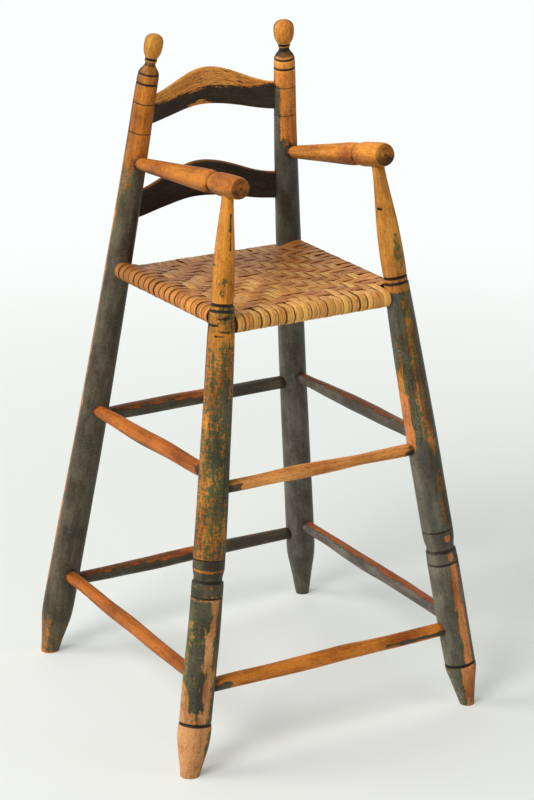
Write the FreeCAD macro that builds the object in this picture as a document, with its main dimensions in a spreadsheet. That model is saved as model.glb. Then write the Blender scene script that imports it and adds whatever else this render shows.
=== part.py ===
import FreeCAD, Part
import math
import os
import Sketcher
from FreeCAD import Placement, Rotation, Vector

# Child's high chair: four turned posts, two bowed slats, turned arms, round rungs, woven splint seat.
# Millimetres. +Z up, the sitter faces -Y, origin on the floor at the middle of the four feet.
# "left" and "right" are the sitter's: left is +X, right is -X.

sizes = {
    # feet: half the spread of the front feet across, how far in the rear feet stand, half the depth
    "foot_x": 207.1,
    "rear_inset": 3.5,
    "foot_y": 213.5,
    # rear posts
    "rear_in_deg": 7.163,
    "rear_forward_deg": 8.535,
    "rear_length": 896.7,
    "foot_trim": 6.0,
    "rear_base_d": 21.4,
    "rear_taper": 65.7,
    "rear_ankle_d": 41.0,
    "rear_calf": 403.0,
    "rear_calf_d": 36.6,
    "rear_shaft_d": 27.6,
    "rear_groove_d": 25.4,
    "rear_groove_w": 2.4,
    "rear_collar": 12.0,
    "rear_collar_d": 25.6,
    "rear_shoulder": 10.8,
    "rear_neck": 4.0,
    "rear_neck_d": 11.6,
    "finial_ring": 3.6,
    "finial_ring_d": 14.8,
    "finial_stem_d": 13.6,
    "finial_cup": 9.0,
    "finial_cup_d": 21.4,
    "finial_side": 11.4,
    "finial_d": 24.8,
    # front posts
    "front_in_deg": 7.943,
    "front_back_deg": 6.262,
    "front_base_d": 22.6,
    "front_taper": 50.0,
    "front_foot_d": 41.8,
    "foot_band_left": 9.5,
    "foot_band_right": 16.5,
    "foot_groove_w": 4.0,
    "foot_groove_d": 38.8,
    "front_calf_d": 41.8,
    "ring_left": 221.0,
    "ring_right": 248.0,
    "ring_d": 39.8,
    "ring_neck_d": 35.8,
    "ring_step": 1.6,
    "ring_flat": 4.0,
    "ring_cove": 13.0,
    "front_knee_d": 40.4,
    "front_thigh": 203.0,
    "front_thigh_d": 37.4,
    "seat_groove_z": 590.0,
    "front_seat_d": 31.6,
    "seat_groove_w": 3.0,
    "seat_groove_d": 29.4,
    "seat_band": 4.6,
    "seat_band_d": 30.2,
    "top_groove_d": 26.8,
    "top_groove_w": 3.0,
    "baluster_d": 27.8,
    "baluster_straight": 38.0,
    "baluster_swell": 36.0,
    "baluster_waist_d": 24.6,
    "arm_post_d": 14.2,
    "arm_post_lead": 4.0,
    "arm_post_stop": 3.0,
    # arms
    "arm_back_left": 696.4,
    "arm_back_right": 711.0,
    "arm_front_left": 745.8,
    "arm_front_right": 732.0,
    "arm_tenon_d": 16.0,
    "arm_swell": 188.0,
    "arm_swell_d": 29.0,
    "arm_round": 9.0,
    "arm_round_d": 28.2,
    "arm_fall": 6.0,
    "arm_neck_d": 21.8,
    "arm_neck_w": 2.0,
    "knob_rise": 5.0,
    "knob_rise_d": 27.4,
    "knob_ease": 9.0,
    "knob_d": 29.8,
    "knob_round": 8.0,
    "knob_round_d": 27.2,
    "knob_edge": 4.0,
    "knob_face_d": 19.0,
    "knob_over": 27.0,
    # joints
    "front_tenon_d": 15.6,
    "rear_tenon_d": 16.4,
    "side_tenon_d": 16.0,
    "tenon_lead": 3.0,
    "tip_wall": 1.2,
    "tip_gap": 0.8,
    "socket_gap": 0.08,
    # stretchers, heights where they meet the post axes
    "front_upper_z": 361.5,
    "front_lower_z": 110.5,
    "rear_upper_z": 353.4,
    "rear_lower_z": 106.0,
    "side_upper_left_front_z": 375.0,
    "side_upper_left_rear_z": 361.0,
    "side_upper_right_front_z": 380.2,
    "side_upper_right_rear_z": 368.0,
    "side_lower_left_front_z": 122.0,
    "side_lower_left_rear_z": 120.4,
    "side_lower_right_front_z": 123.6,
    "side_lower_right_rear_z": 122.4,
    "front_upper_d": 17.2,
    "front_lower_d": 19.8,
    "rear_upper_d": 19.6,
    "rear_lower_d": 20.2,
    "side_rung_d": 20.0,
    "swell_share": 0.3,
    # seat rungs: height of the front one, how far the others lie above it there, and the side ones' fall
    "seat_z": 563.0,
    "seat_rear_rise": -10.0,
    "seat_left_rise": 2.4,
    "seat_right_rise": 8.6,
    "seat_side_fall": 4.6,
    "seat_rung_d": 19.0,
    "seat_tenon_d": 14.0,
    # slats, heights of their end middles on the post axes
    "top_slat_z": 777.0,
    "lower_slat_z": 649.0,
    "slat_end": 38.0,
    "slat_crest": 25.0,
    "slat_arch": 12.0,
    "slat_bow": 22.0,
    "slat_thick": 7.0,
    "slat_tip": 4.0,
    "slat_gap": 0.1,
    # woven seat
    "warp_count": 19,
    "weft_count": 18,
    "splint_thick": 0.9,
    "splint_gap": 1.1,
    "weave_gap": 0.3,
    "wrap_gap": 0.3,
    "seat_margin": 0.8,
}

doc = FreeCAD.newDocument("high_chair")
sheet = doc.addObject("Spreadsheet::Sheet", "sizes")
for row, (name, value) in enumerate(sizes.items(), start=1):
    sheet.set("A%d" % row, name)
    sheet.set("B%d" % row, str(value))
    sheet.setAlias("B%d" % row, name)
doc.recompute()

sides = {"left": 1, "right": -1}
tenons = ("front_tenon_d", "rear_tenon_d", "side_tenon_d", "seat_tenon_d", "arm_tenon_d")
tip_offset = max(sizes[name] for name in tenons) / 2 + sizes["tip_wall"]
parts = []


def tan_deg(name):
    return math.tan(math.radians(sizes[name]))


def rear_axis(side, z):
    x = sizes["foot_x"] - sizes["rear_inset"] - z * tan_deg("rear_in_deg")
    y = sizes["foot_y"] - z * tan_deg("rear_forward_deg")
    return Vector(sides[side] * x, y, z)


def front_axis(side, z):
    x = sizes["foot_x"] - z * tan_deg("front_in_deg")
    y = z * tan_deg("front_back_deg") - sizes["foot_y"]
    return Vector(sides[side] * x, y, z)


def unit(start, end):
    return (end - start).normalize()


def total(*names):
    # sum of named sizes as (value, sheet formula); a leading minus subtracts, a last /2 halves
    value = 0.0
    formula = "0"
    for name in names:
        sign = " - " if name.startswith("-") else " + "
        key, _, halved = name.lstrip("-").partition("/")
        amount = sizes[key] / 2 if halved else sizes[key]
        value += -amount if sign == " - " else amount
        formula += sign + "sizes." + key + (" / 2" if halved else "")
    return value, formula


def height_of(station):
    height = station[0]
    return total(*height) if isinstance(height, tuple) else (height, None)


def radius_of(station):
    name = station[1]
    return (sizes[name] / 2, "sizes.%s / 2" % name) if name else (0.0, "0")


def radius_at(stations, height):
    for low, high in zip(stations, stations[1:]):
        h0, h1 = height_of(low)[0], height_of(high)[0]
        r0, r1 = radius_of(low)[0], radius_of(high)[0]
        if h0 <= height <= h1 and h1 > h0:
            return r0 + (r1 - r0) * (height - h0) / (h1 - h0)
    return radius_of(stations[-1])[0]


def origin_plane(body, role):
    return [item for item in body.Origin.OriginFeatures if item.Role == role][0]


def pin_point(sketch, geo, pos, x, y):
    # ties one profile corner to the sheet; x and y are (value, formula)
    for kind, line, (value, formula) in (("DistanceX", -2, x), ("DistanceY", -1, y)):
        if value == 0.0:
            sketch.addConstraint(Sketcher.Constraint("PointOnObject", geo, pos, line))
            continue
        index = sketch.addConstraint(Sketcher.Constraint(kind, -1, 1, geo, pos, value))
        if formula:
            sketch.setExpression("Constraints[%d]" % index, formula)


def turned(label, stations, start, direction):
    # a lathe-turned piece: half profile by stations (height, diameter, line or ball end to reach it)
    body = doc.addObject("PartDesign::Body", label + "_turning")
    sketch = body.newObject("Sketcher::SketchObject", label + "_profile")
    sketch.AttachmentSupport = [(origin_plane(body, "XZ_Plane"), "")]
    sketch.MapMode = "FlatFace"
    zero = (0.0, None)
    corners = [(zero, height_of(stations[0]), "line")]
    corners += [(radius_of(s), height_of(s), s[2]) for s in stations]
    if stations[-1][1]:
        corners.append((zero, height_of(stations[-1]), "line"))
    edges = []
    count = len(corners)
    for i in range(count):
        (x0, y0, _), (x1, y1, kind) = corners[i], corners[(i + 1) % count]
        a = Vector(x0[0], y0[0], 0)
        b = Vector(x1[0], y1[0], 0)
        if kind == "line":
            geo = sketch.addGeometry(Part.LineSegment(a, b), False)
        else:
            circle = Part.Circle(Vector(0, a.y, 0), Vector(0, 0, 1), a.x)
            geo = sketch.addGeometry(Part.ArcOfCircle(circle, 0.0, math.pi / 2), False)
            index = sketch.addConstraint(Sketcher.Constraint("Radius", geo, a.x))
            sketch.setExpression("Constraints[%d]" % index, x0[1])
        edges.append(geo)
        pin_point(sketch, geo, 1, x0, y0)
    for i in range(count):
        pair = (edges[i], 2, edges[(i + 1) % count], 1)
        sketch.addConstraint(Sketcher.Constraint("Coincident", *pair))
    turn = body.newObject("PartDesign::Revolution", label + "_turn")
    turn.Profile = sketch
    turn.ReferenceAxis = (sketch, ["V_Axis"])
    turn.Angle = 360.0
    body.Placement = Placement(start, Rotation(Vector(0, 0, 1), direction))
    return body


def finish(label, item):
    item.Label = label
    parts.append(item)
    return item


def carve(label, base, tools):
    tool = tools[0]
    if len(tools) > 1:
        tool = doc.addObject("Part::MultiFuse", label + "_holes")
        tool.Shapes = tools
    piece = doc.addObject("Part::Cut", label + "_cut")
    piece.Base = base
    piece.Tool = tool
    return finish(label, piece)


def socket(label, axis_point, direction, offset, reach, diameter):
    # round hole from just short of the post axis out through its side
    hole = doc.addObject("Part::Cylinder", label + "_socket")
    hole.setExpression("Radius", "sizes.%s / 2 + sizes.socket_gap" % diameter)
    inner = offset - sizes["tip_gap"]
    hole.Height = reach - inner
    hole.Placement = Placement(axis_point + direction * inner, Rotation(Vector(0, 0, 1), direction))
    return hole


# Post profiles, heights measured along the axis from the trimmed end below the floor.

rear_top = ["foot_trim", "rear_length", "-finial_d/2", "-finial_side", "-finial_cup", "-finial_ring"]
rear_top += ["-rear_neck", "-rear_shoulder", "-rear_collar"]
rear_stations = [
    (0.0, "rear_base_d", "line"),
    (("foot_trim", "rear_taper"), "rear_ankle_d", "line"),
    (("foot_trim", "rear_taper", "rear_calf"), "rear_calf_d", "line"),
    (tuple(rear_top + ["-rear_groove_w"]), "rear_shaft_d", "line"),
    (tuple(rear_top + ["-rear_groove_w/2"]), "rear_groove_d", "line"),
    (tuple(rear_top), "rear_shaft_d", "line"),
    (tuple(rear_top[:-1]), "rear_collar_d", "line"),
    (tuple(rear_top[:-2]), "rear_neck_d", "line"),
    (tuple(rear_top[:-3]), "rear_neck_d", "line"),
    (tuple(rear_top[:-3]), "finial_ring_d", "line"),
    (tuple(rear_top[:-4]), "finial_ring_d", "line"),
    (tuple(rear_top[:-4]), "finial_stem_d", "line"),
    (tuple(rear_top[:-5]), "finial_cup_d", "line"),
    (tuple(rear_top[:-6]), "finial_d", "line"),
    (tuple(rear_top[:-7]), None, "ball"),
]
rear_lean = unit(rear_axis("left", 0), rear_axis("left", sizes["seat_z"])).z
front_lean = unit(front_axis("left", 0), front_axis("left", sizes["seat_z"])).z


def front_stations(side):
    foot = ["foot_trim", "front_taper", "foot_band_" + side]
    ring = ["foot_trim", "ring_" + side]
    cove = ring + ["ring_step", "ring_flat", "ring_cove"]
    seat = ["foot_trim", "seat_groove_z"]
    top = seat + ["seat_groove_w", "seat_band", "top_groove_w"]
    reach = sizes["arm_front_" + side] / front_lean + sizes["foot_trim"]
    return [
        (0.0, "front_base_d", "line"),
        (tuple(foot[:-1]), "front_foot_d", "line"),
        (tuple(foot), "front_foot_d", "line"),
        (tuple(foot + ["foot_groove_w/2"]), "foot_groove_d", "line"),
        (tuple(foot + ["foot_groove_w"]), "front_calf_d", "line"),
        (tuple(ring), "ring_d", "line"),
        (tuple(ring + ["ring_step"]), "ring_neck_d", "line"),
        (tuple(ring + ["ring_step", "ring_flat"]), "ring_neck_d", "line"),
        (tuple(cove), "front_knee_d", "line"),
        (tuple(cove + ["front_thigh"]), "front_thigh_d", "line"),
        (tuple(seat), "front_seat_d", "line"),
        (tuple(seat + ["seat_groove_w/2"]), "seat_groove_d", "line"),
        (tuple(seat + ["seat_groove_w"]), "seat_band_d", "line"),
        (tuple(seat + ["seat_groove_w", "seat_band"]), "seat_band_d", "line"),
        (tuple(top + ["-top_groove_w/2"]), "top_groove_d", "line"),
        (tuple(top), "baluster_d", "line"),
        (tuple(top + ["baluster_straight"]), "baluster_d", "line"),
        (tuple(top + ["baluster_straight", "baluster_swell"]), "baluster_waist_d", "line"),
        (reach - sizes["knob_d"] / 2 - sizes["arm_post_lead"], "arm_post_d", "line"),
        (reach + sizes["arm_post_stop"], "arm_post_d", "line"),
    ]


stations_of = {"rear": {side: rear_stations for side in sides}}
stations_of["front"] = {side: front_stations(side) for side in sides}
axis_of = {"rear": rear_axis, "front": front_axis}
lean_of = {"rear": rear_lean, "front": front_lean}
holes = {(row, side): [] for row in axis_of for side in sides}


def post_radius(row, side, z):
    return radius_at(stations_of[row][side], z / lean_of[row] + sizes["foot_trim"])


# Rungs: each tenon stops short of the post axis, so that tenons from two sides never meet.


def rung(label, end_a, end_b, tenon, thick=None, flank=0.0):
    # an end is (front or rear, side, height); between its tenons the rung is straight, or thicker,
    # reaching that over a flank of this share of its length, or at a square shoulder
    points = [axis_of[row](side, z) for row, side, z in (end_a, end_b)]
    along = unit(*points)
    length = points[1].sub(points[0]).Length - 2 * tip_offset
    leads = [post_radius(*end) + sizes["tenon_lead"] - tip_offset for end in (end_a, end_b)]
    stations = [(0.0, tenon, "line")]
    if thick:
        slope = flank * length
        stations.append((leads[0], tenon, "line"))
        stations.append((leads[0] + slope, thick, "line"))
        stations.append((length - leads[1] - slope, thick, "line"))
        stations.append((length - leads[1], tenon, "line"))
    stations.append((length, tenon, "line"))
    finish(label, turned(label, stations, points[0] + along * tip_offset, along))
    for end, point, way in ((end_a, points[0], along), (end_b, points[1], -along)):
        reach = post_radius(*end) + 3 * sizes["tenon_lead"]
        tag = "%s_%s_%s" % (label, end[0], end[1])
        holes[end[:2]].append(socket(tag, point, way, tip_offset, reach, tenon))
    return points


flank = sizes["swell_share"]
for level in ("upper", "lower"):
    for row in axis_of:
        z = sizes["%s_%s_z" % (row, level)]
        ends = ((row, "right", z), (row, "left", z))
        tenon, thick = row + "_tenon_d", "%s_%s_d" % (row, level)
        rung("%s_stretcher_%s" % (row, level), ends[0], ends[1], tenon, thick, flank)
    for side in sides:
        place = "side_%s_%s" % (level, side)
        ends = [(row, side, sizes["%s_%s_z" % (place, row)]) for row in ("rear", "front")]
        label = "side_stretcher_%s_%s" % (level, side)
        rung(label, ends[0], ends[1], "side_tenon_d", "side_rung_d", flank)

seat_lines = {}
seat_z = {"front": sizes["seat_z"]}
for name in ("rear", "left", "right"):
    seat_z[name] = sizes["seat_z"] + sizes["seat_%s_rise" % name]
for row in axis_of:
    ends = ((row, "right", seat_z[row]), (row, "left", seat_z[row]))
    seat_lines[row] = rung("seat_rung_" + row, ends[0], ends[1], "seat_tenon_d", "seat_rung_d")
for side in sides:
    ends = (("rear", side, seat_z[side] - sizes["seat_side_fall"]), ("front", side, seat_z[side]))
    seat_lines[side] = rung("seat_rung_" + side, ends[0], ends[1], "seat_tenon_d", "seat_rung_d")


# Slats: a bowed board, its outline drawn on the plane of the rear posts.


def s_curve(x0, z0, x1, z1):
    # two equal arcs, level at both ends, as three-point arcs
    rise = z1 - z0
    run = x1 - x0
    big = (run * run + rise * rise) / (4 * abs(rise))
    up = 1 if rise > 0 else -1
    half = math.asin(min(1.0, abs(run) / (2 * big))) / 2
    ahead = big * math.sin(half) * (1 if run > 0 else -1)
    drop = big * (1 - math.cos(half)) * up
    middle = Vector(x0 + run / 2, z0 + rise / 2, 0)
    first = (Vector(x0, z0, 0), Vector(x0 + ahead, z0 + drop, 0), middle)
    second = (middle, Vector(x1 - ahead, z1 - drop, 0), Vector(x1, z1, 0))
    return [first, second]


def slat(label, z):
    middle = rear_axis("left", z)
    half = middle.x
    tip = half - sizes["slat_tip"]
    edge = half - post_radius("rear", "left", z)
    low = -sizes["slat_end"] / 2
    top = -low
    bow = sizes["slat_bow"]
    big = (half * half + bow * bow) / (2 * bow)
    frame = Placement(Vector(0, middle.y, z), Rotation(Vector(1, 0, 0), sizes["rear_forward_deg"]))

    def bent(tag, extra):
        # thin tube wall that the board follows, bowed backward from the post axes
        walls = []
        for name, sign in (("outer", 1), ("inner", -1)):
            wall = doc.addObject("Part::Cylinder", "%s_%s_%s" % (label, tag, name))
            wall.Radius = big + sign * (sizes["slat_thick"] / 2 + extra)
            wall.Height = 2 * sizes["slat_end"] + 4 * sizes["slat_crest"]
            walls.append(wall)
            shift = Placement(Vector(0, bow - big, -wall.Height.Value / 2), Rotation())
            wall.Placement = frame.multiply(shift)
        tube = doc.addObject("Part::Cut", "%s_%s_tube" % (label, tag))
        tube.Base, tube.Tool = walls
        return tube

    body = doc.addObject("PartDesign::Body", label + "_board")
    sketch = body.newObject("Sketcher::SketchObject", label + "_outline")
    sketch.AttachmentSupport = [(origin_plane(body, "XZ_Plane"), "")]
    sketch.MapMode = "FlatFace"
    crest, arch = top + sizes["slat_crest"], low + sizes["slat_arch"]
    arcs = s_curve(-edge, top, 0, crest) + s_curve(0, crest, edge, top)
    under = s_curve(edge, low, 0, arch) + s_curve(0, arch, -edge, low)
    loop = [((-tip, low), (-tip, top)), ((-tip, top), (-edge, top))] + arcs
    loop += [((edge, top), (tip, top)), ((tip, top), (tip, low)), ((tip, low), (edge, low))] + under
    loop.append(((-edge, low), (-tip, low)))
    for item in loop:
        if len(item) == 3:
            sketch.addGeometry(Part.Arc(*item), False)
        else:
            sketch.addGeometry(Part.LineSegment(*[Vector(x, y, 0) for x, y in item]), False)
    pad = body.newObject("PartDesign::Pad", label + "_pad")
    pad.Profile = sketch
    pad.SideType = "Symmetric"
    pad.Length = 4 * bow + 4 * sizes["slat_thick"]
    body.Placement = frame
    board = doc.addObject("Part::Common", label + "_bowed")
    board.Base, board.Tool = body, bent("board", 0.0)
    finish(label, board)

    block = doc.addObject("Part::Box", label + "_block")
    gap = sizes["slat_gap"]
    block.Length = 2 * (tip + sizes["tip_gap"])
    block.Width = 4 * bow + 4 * sizes["slat_thick"]
    block.Height = sizes["slat_end"] + 2 * gap
    shift = Vector(-block.Length.Value / 2, -block.Width.Value / 2, low - gap)
    block.Placement = frame.multiply(Placement(shift, Rotation()))
    for side in sides:
        mortise = doc.addObject("Part::Common", "%s_%s_mortise" % (label, side))
        mortise.Base, mortise.Tool = block, bent("mortise_" + side, gap)
        holes[("rear", side)].append(mortise)


slat("top_slat", sizes["top_slat_z"])
slat("lower_slat", sizes["lower_slat_z"])


# Arms: tenoned into the rear post, bored from below for the top of the front post.

for side in sides:
    back_z, front_z = sizes["arm_back_" + side], sizes["arm_front_" + side]
    back, front = rear_axis(side, back_z), front_axis(side, front_z)
    along = unit(back, front)
    span = front.sub(back).Length
    entry = post_radius("rear", side, back_z) + sizes["tenon_lead"]
    end = span + sizes["knob_over"]
    marks = [
        (entry, "arm_tenon_d"),
        (sizes["arm_swell"], "arm_swell_d"),
        (sizes["arm_round"], "arm_round_d"),
        (sizes["arm_fall"], "arm_neck_d"),
        (sizes["arm_neck_w"], "arm_neck_d"),
        (sizes["knob_rise"], "knob_rise_d"),
        (sizes["knob_ease"], "knob_d"),
    ]
    arm_stations = [(0.0, "arm_tenon_d", "line")]
    at = -tip_offset
    for k, (step, diameter) in enumerate(marks):
        at = step - tip_offset if k < 2 else at + step
        arm_stations.append((at, diameter, "line"))
    arm_stations += [
        (end - sizes["knob_edge"] - sizes["knob_round"] - tip_offset, "knob_d", "line"),
        (end - sizes["knob_edge"] - tip_offset, "knob_round_d", "line"),
        (end - tip_offset, "knob_face_d", "line"),
    ]
    label = "arm_" + side
    turning = turned(label, arm_stations, back + along * tip_offset, along)
    post_way = unit(front_axis(side, 0), front)
    reach = sizes["knob_d"]
    bore = socket(label + "_bore", front, -post_way, -sizes["arm_post_stop"], reach, "arm_post_d")
    carve(label, turning, [bore])
    reach = entry + 2 * sizes["tenon_lead"]
    holes[("rear", side)].append(socket(label, back, along, tip_offset, reach, "arm_tenon_d"))


# Posts: turned, leaning on their feet, sawn level at the floor, bored and mortised.

for row in axis_of:
    for side in sides:
        label = "%s_post_%s" % (row, side)
        foot = axis_of[row](side, 0)
        way = unit(foot, axis_of[row](side, sizes["seat_z"]))
        turning = turned(label, stations_of[row][side], foot - way * sizes["foot_trim"], way)
        floor = doc.addObject("Part::Box", label + "_floor")
        wide = 4 * sizes["front_foot_d"]
        floor.Length = floor.Width = floor.Height = wide
        floor.Placement.Base = Vector(foot.x - wide / 2, foot.y - wide / 2, -wide)
        carve(label, turning, holes[(row, side)] + [floor])


# Woven seat: warp splints loop the front and rear rungs, weft splints loop the side rungs,
# and they cross two over, two under, the twill turning back at the middle as a herringbone.

thick = sizes["splint_thick"]
lift = (thick + sizes["weave_gap"]) / 2
hug = sizes["seat_rung_d"] / 2 + sizes["wrap_gap"]
level = hug + thick / 2
facet = math.radians(22.5)
home = (seat_lines["front"][0] + seat_lines["front"][1]) * 0.5
away = (seat_lines["rear"][0] + seat_lines["rear"][1]) * 0.5
back_way = unit(home, away)
up_way = Vector(1, 0, 0).cross(back_way)
depth = away.sub(home).Length

z_low = min(seat_z.values())
front_gap = max(post_radius("front", side, z_low) for side in sides) + sizes["seat_margin"]
rear_gap = max(post_radius("rear", side, z_low) for side in sides) + sizes["seat_margin"]
half_wide = min(abs(seat_lines["front"][0].x) - front_gap, abs(seat_lines["rear"][0].x) - rear_gap)
warp_pitch = 2 * half_wide / sizes["warp_count"]
weft_pitch = (depth - front_gap - rear_gap) / sizes["weft_count"]
warp_wide = warp_pitch - sizes["splint_gap"]
weft_wide = weft_pitch - sizes["splint_gap"]
warp_at = [warp_pitch * (i - (sizes["warp_count"] - 1) / 2) for i in range(sizes["warp_count"])]
weft_at = [front_gap + weft_pitch * (j + 0.5) for j in range(sizes["weft_count"])]


def over(i, j):
    # 1 where the warp passes over the weft, -1 where it dips under
    mirrored = abs(i - sizes["warp_count"] // 2)
    return 1 if (mirrored + j) % 4 < 2 else -1


def woven(places, wide, turns, base):
    # level runs across the crossings, with a short ramp between where the splint changes side
    path = []
    for k, (place, turn) in enumerate(zip(places, turns)):
        if k == 0 or turns[k - 1] != turn:
            path.append((place - wide / 2, base + turn * lift))
        if k == len(places) - 1 or turns[k + 1] != turn:
            path.append((place + wide / 2, base + turn * lift))
    return path


def wrap(centre, angles, radius):
    far = radius / math.cos(facet)
    turns = [math.radians(angle) for angle in angles]
    return [(centre[0] + far * math.cos(a), centre[1] + far * math.sin(a)) for a in turns]


def loop_splint(start, end, path, origin, run_way, wide_way, wide):
    # closed band round two rungs; start and end are (centre, wrap angles)
    edges = []
    for radius, shift in ((hug + thick, thick / 2), (hug, -thick / 2)):
        points = wrap(start[0], start[1], radius)
        points += [(u, v + shift) for u, v in path]
        points += wrap(end[0], end[1], radius)
        corners = [origin + run_way * u + up_way * v for u, v in points]
        edges.append(Part.makePolygon(corners + corners[:1]))
    face = Part.makeFace(edges, "Part::FaceMakerBullseye")
    band = face.extrude(wide_way * wide)
    return band


near_turn = [-112.5, -157.5, 157.5, 112.5]
far_turn = [67.5, 22.5, -22.5, -67.5]
warp_bands = []
for i, x in enumerate(warp_at):
    turns = [over(i, j) for j in range(len(weft_at))]
    path = woven(weft_at, weft_wide, turns, level)
    origin = home + Vector(x - warp_wide / 2, 0, 0)
    across = Vector(1, 0, 0)
    near, far = ((0.0, 0.0), near_turn), ((depth, 0.0), far_turn)
    warp_bands.append(loop_splint(near, far, path, origin, back_way, across, warp_wide))

weft_bands = []
for j, u in enumerate(weft_at):
    centres = {}
    for side in sides:
        rear_end, front_end = seat_lines[side]
        share = (u - (rear_end - home).dot(back_way)) / (front_end - rear_end).dot(back_way)
        spot = rear_end + (front_end - rear_end) * share
        centres[side] = (spot.x, (spot - home).dot(up_way))
    turns = [-over(i, j) for i in range(len(warp_at))]
    path = woven(warp_at, warp_wide, turns, level)
    near_angles, far_angles = near_turn + [67.5], [112.5] + far_turn
    for side, spot, target in (("right", path[0], near_angles), ("left", path[-1], far_angles)):
        corner = wrap(centres[side], [67.5 if side == "right" else 112.5], hug)[0]
        if corner[1] - (spot[1] - thick / 2) > 0.9 * abs(corner[0] - spot[0]):
            target.insert(len(target) if side == "right" else 0, 22.5 if side == "right" else 157.5)
    near, far = (centres["right"], near_angles), (centres["left"], far_angles)
    origin = home + back_way * (u - weft_wide / 2)
    weft_bands.append(loop_splint(near, far, path, origin, Vector(1, 0, 0), back_way, weft_wide))

for label, bands in (("seat_warp_splints", warp_bands), ("seat_weft_splints", weft_bands)):
    weave = doc.addObject("Part::Feature", label)
    weave.Shape = Part.makeCompound(bands)
    finish(label, weave)

doc.recompute()

faults = []
for item in doc.Objects:
    if "Invalid" in item.State or "Error" in item.State:
        faults.append(item.Name)
for item in parts:
    if item.Shape.isNull() or not item.Shape.isValid() or not item.Shape.Solids:
        faults.append(item.Label)
if faults:
    raise RuntimeError("not built: " + ", ".join(faults))

os.makedirs("parts", exist_ok=True)
for item in parts:
    item.Shape.exportStep("parts/%s.step" % item.Label)
print("wrote", len(parts), "parts")
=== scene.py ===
import math

import bmesh
import bpy
from mathutils import Matrix, Vector, noise


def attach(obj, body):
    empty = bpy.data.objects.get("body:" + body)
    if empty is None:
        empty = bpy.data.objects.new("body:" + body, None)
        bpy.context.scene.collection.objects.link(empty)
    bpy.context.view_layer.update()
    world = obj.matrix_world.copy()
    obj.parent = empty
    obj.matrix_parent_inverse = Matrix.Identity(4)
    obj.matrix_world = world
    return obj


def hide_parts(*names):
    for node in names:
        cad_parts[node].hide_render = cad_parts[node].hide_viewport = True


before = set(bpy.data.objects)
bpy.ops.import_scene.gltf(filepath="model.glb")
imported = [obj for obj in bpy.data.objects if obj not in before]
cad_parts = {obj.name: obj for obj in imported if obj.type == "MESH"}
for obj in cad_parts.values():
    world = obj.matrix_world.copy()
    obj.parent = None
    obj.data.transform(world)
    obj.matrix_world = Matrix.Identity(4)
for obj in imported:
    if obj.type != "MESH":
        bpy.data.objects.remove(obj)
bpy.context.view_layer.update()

scene = bpy.context.scene
print("frame loaded:", len(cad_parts), "nodes")

# the chair's own measures, metres and degrees, as the frame was built
chair = {
    "footX": 0.2071, "rearInset": 0.0035, "footY": 0.2135,
    "rearIn": 7.163, "rearForward": 8.535, "frontIn": 7.943, "frontBack": 6.262,
    "sides": {"left": 1, "right": -1},
}

# the picture: where the camera stands and how it looks
picture = {
    "place": (-1.5482, -2.7608, 1.5083), "azimuth": -29.64, "elevation": 19.31,
    "focalPx": 2551.3, "longSidePx": 800, "sensor": 36.0,
}


def tanDeg(angle):
    return math.tan(math.radians(angle))


def postPoint(row, side, z):
    # a point on a post's axis at height z
    sign = chair["sides"][side]
    if row == "rear":
        x = chair["footX"] - chair["rearInset"] - z * tanDeg(chair["rearIn"])
        return Vector((sign * x, chair["footY"] - z * tanDeg(chair["rearForward"]), z))
    x = chair["footX"] - z * tanDeg(chair["frontIn"])
    return Vector((sign * x, z * tanDeg(chair["frontBack"]) - chair["footY"], z))


def viewBack():
    # from the chair towards the camera
    turn, lift = math.radians(picture["azimuth"]), math.radians(picture["elevation"])
    return Vector((math.sin(turn) * math.cos(lift), -math.cos(turn) * math.cos(lift), math.sin(lift)))


def srgb(red, green, blue):
    # written as it looks on screen, 0 to 255
    def linear(value):
        value /= 255
        return value / 12.92 if value <= 0.04045 else ((value + 0.055) / 1.055) ** 2.4
    return (linear(red), linear(green), linear(blue), 1.0)


def paintTones(**colors):
    # each word is an input of the worn paint: woodDeep stands for Wood Deep
    tones = {}
    for word, color in colors.items():
        label = "".join(" " + letter if letter.isupper() else letter for letter in word)
        tones[label.title()] = srgb(*color)
    return tones


# patches of wear, grime and painted shade on a turned piece have eight numbers each:
# centre angle, half angle, low, high, amount, soft angle, soft height, ragged edge

def band(low, high, amount, soft, ragged):
    # a patch that goes all round
    return (0, 180, low, high, amount, 1, soft, ragged)


def moved(base, patches):
    # patches written from the height of a ring or a line
    return [(centre, half, base + low, base + high, *rest) for centre, half, low, high, *rest in patches]


def spread(length, patches):
    # patches whose low and high are each a share of the length and a step on from there
    return [(centre, half, low[0] * length + low[1], high[0] * length + high[1], *rest)
            for centre, half, low, high, *rest in patches]


# node helpers, for shader and geometry trees alike

def put(tree, kind, values=None, **settings):
    node = tree.nodes.new(kind)
    for key, value in settings.items():
        setattr(node, key, value)
    for key, value in (values or {}).items():
        if isinstance(value, bpy.types.NodeSocket):
            tree.links.new(value, node.inputs[key])
        else:
            node.inputs[key].default_value = value
    return node


def calc(tree, operation, *values, clamp=False):
    node = put(tree, "ShaderNodeMath", dict(enumerate(values)), operation=operation, use_clamp=clamp)
    return node.outputs[0]


def blend(tree, factor, first, second):
    node = put(tree, "ShaderNodeMix", {0: factor, 6: first, 7: second}, data_type="RGBA")
    return node.outputs[2]


def ease(tree, value, low, high):
    # soft threshold, nought at low and one at high
    values = {0: value, 1: low, 2: high, 3: 0.0, 4: 1.0}
    return put(tree, "ShaderNodeMapRange", values, interpolation_type="SMOOTHSTEP").outputs[0]


def joined(tree, x, y, z):
    return put(tree, "ShaderNodeCombineXYZ", {0: x, 1: y, 2: z}).outputs[0]


def split(tree, vector):
    return put(tree, "ShaderNodeSeparateXYZ", {0: vector}).outputs


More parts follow.
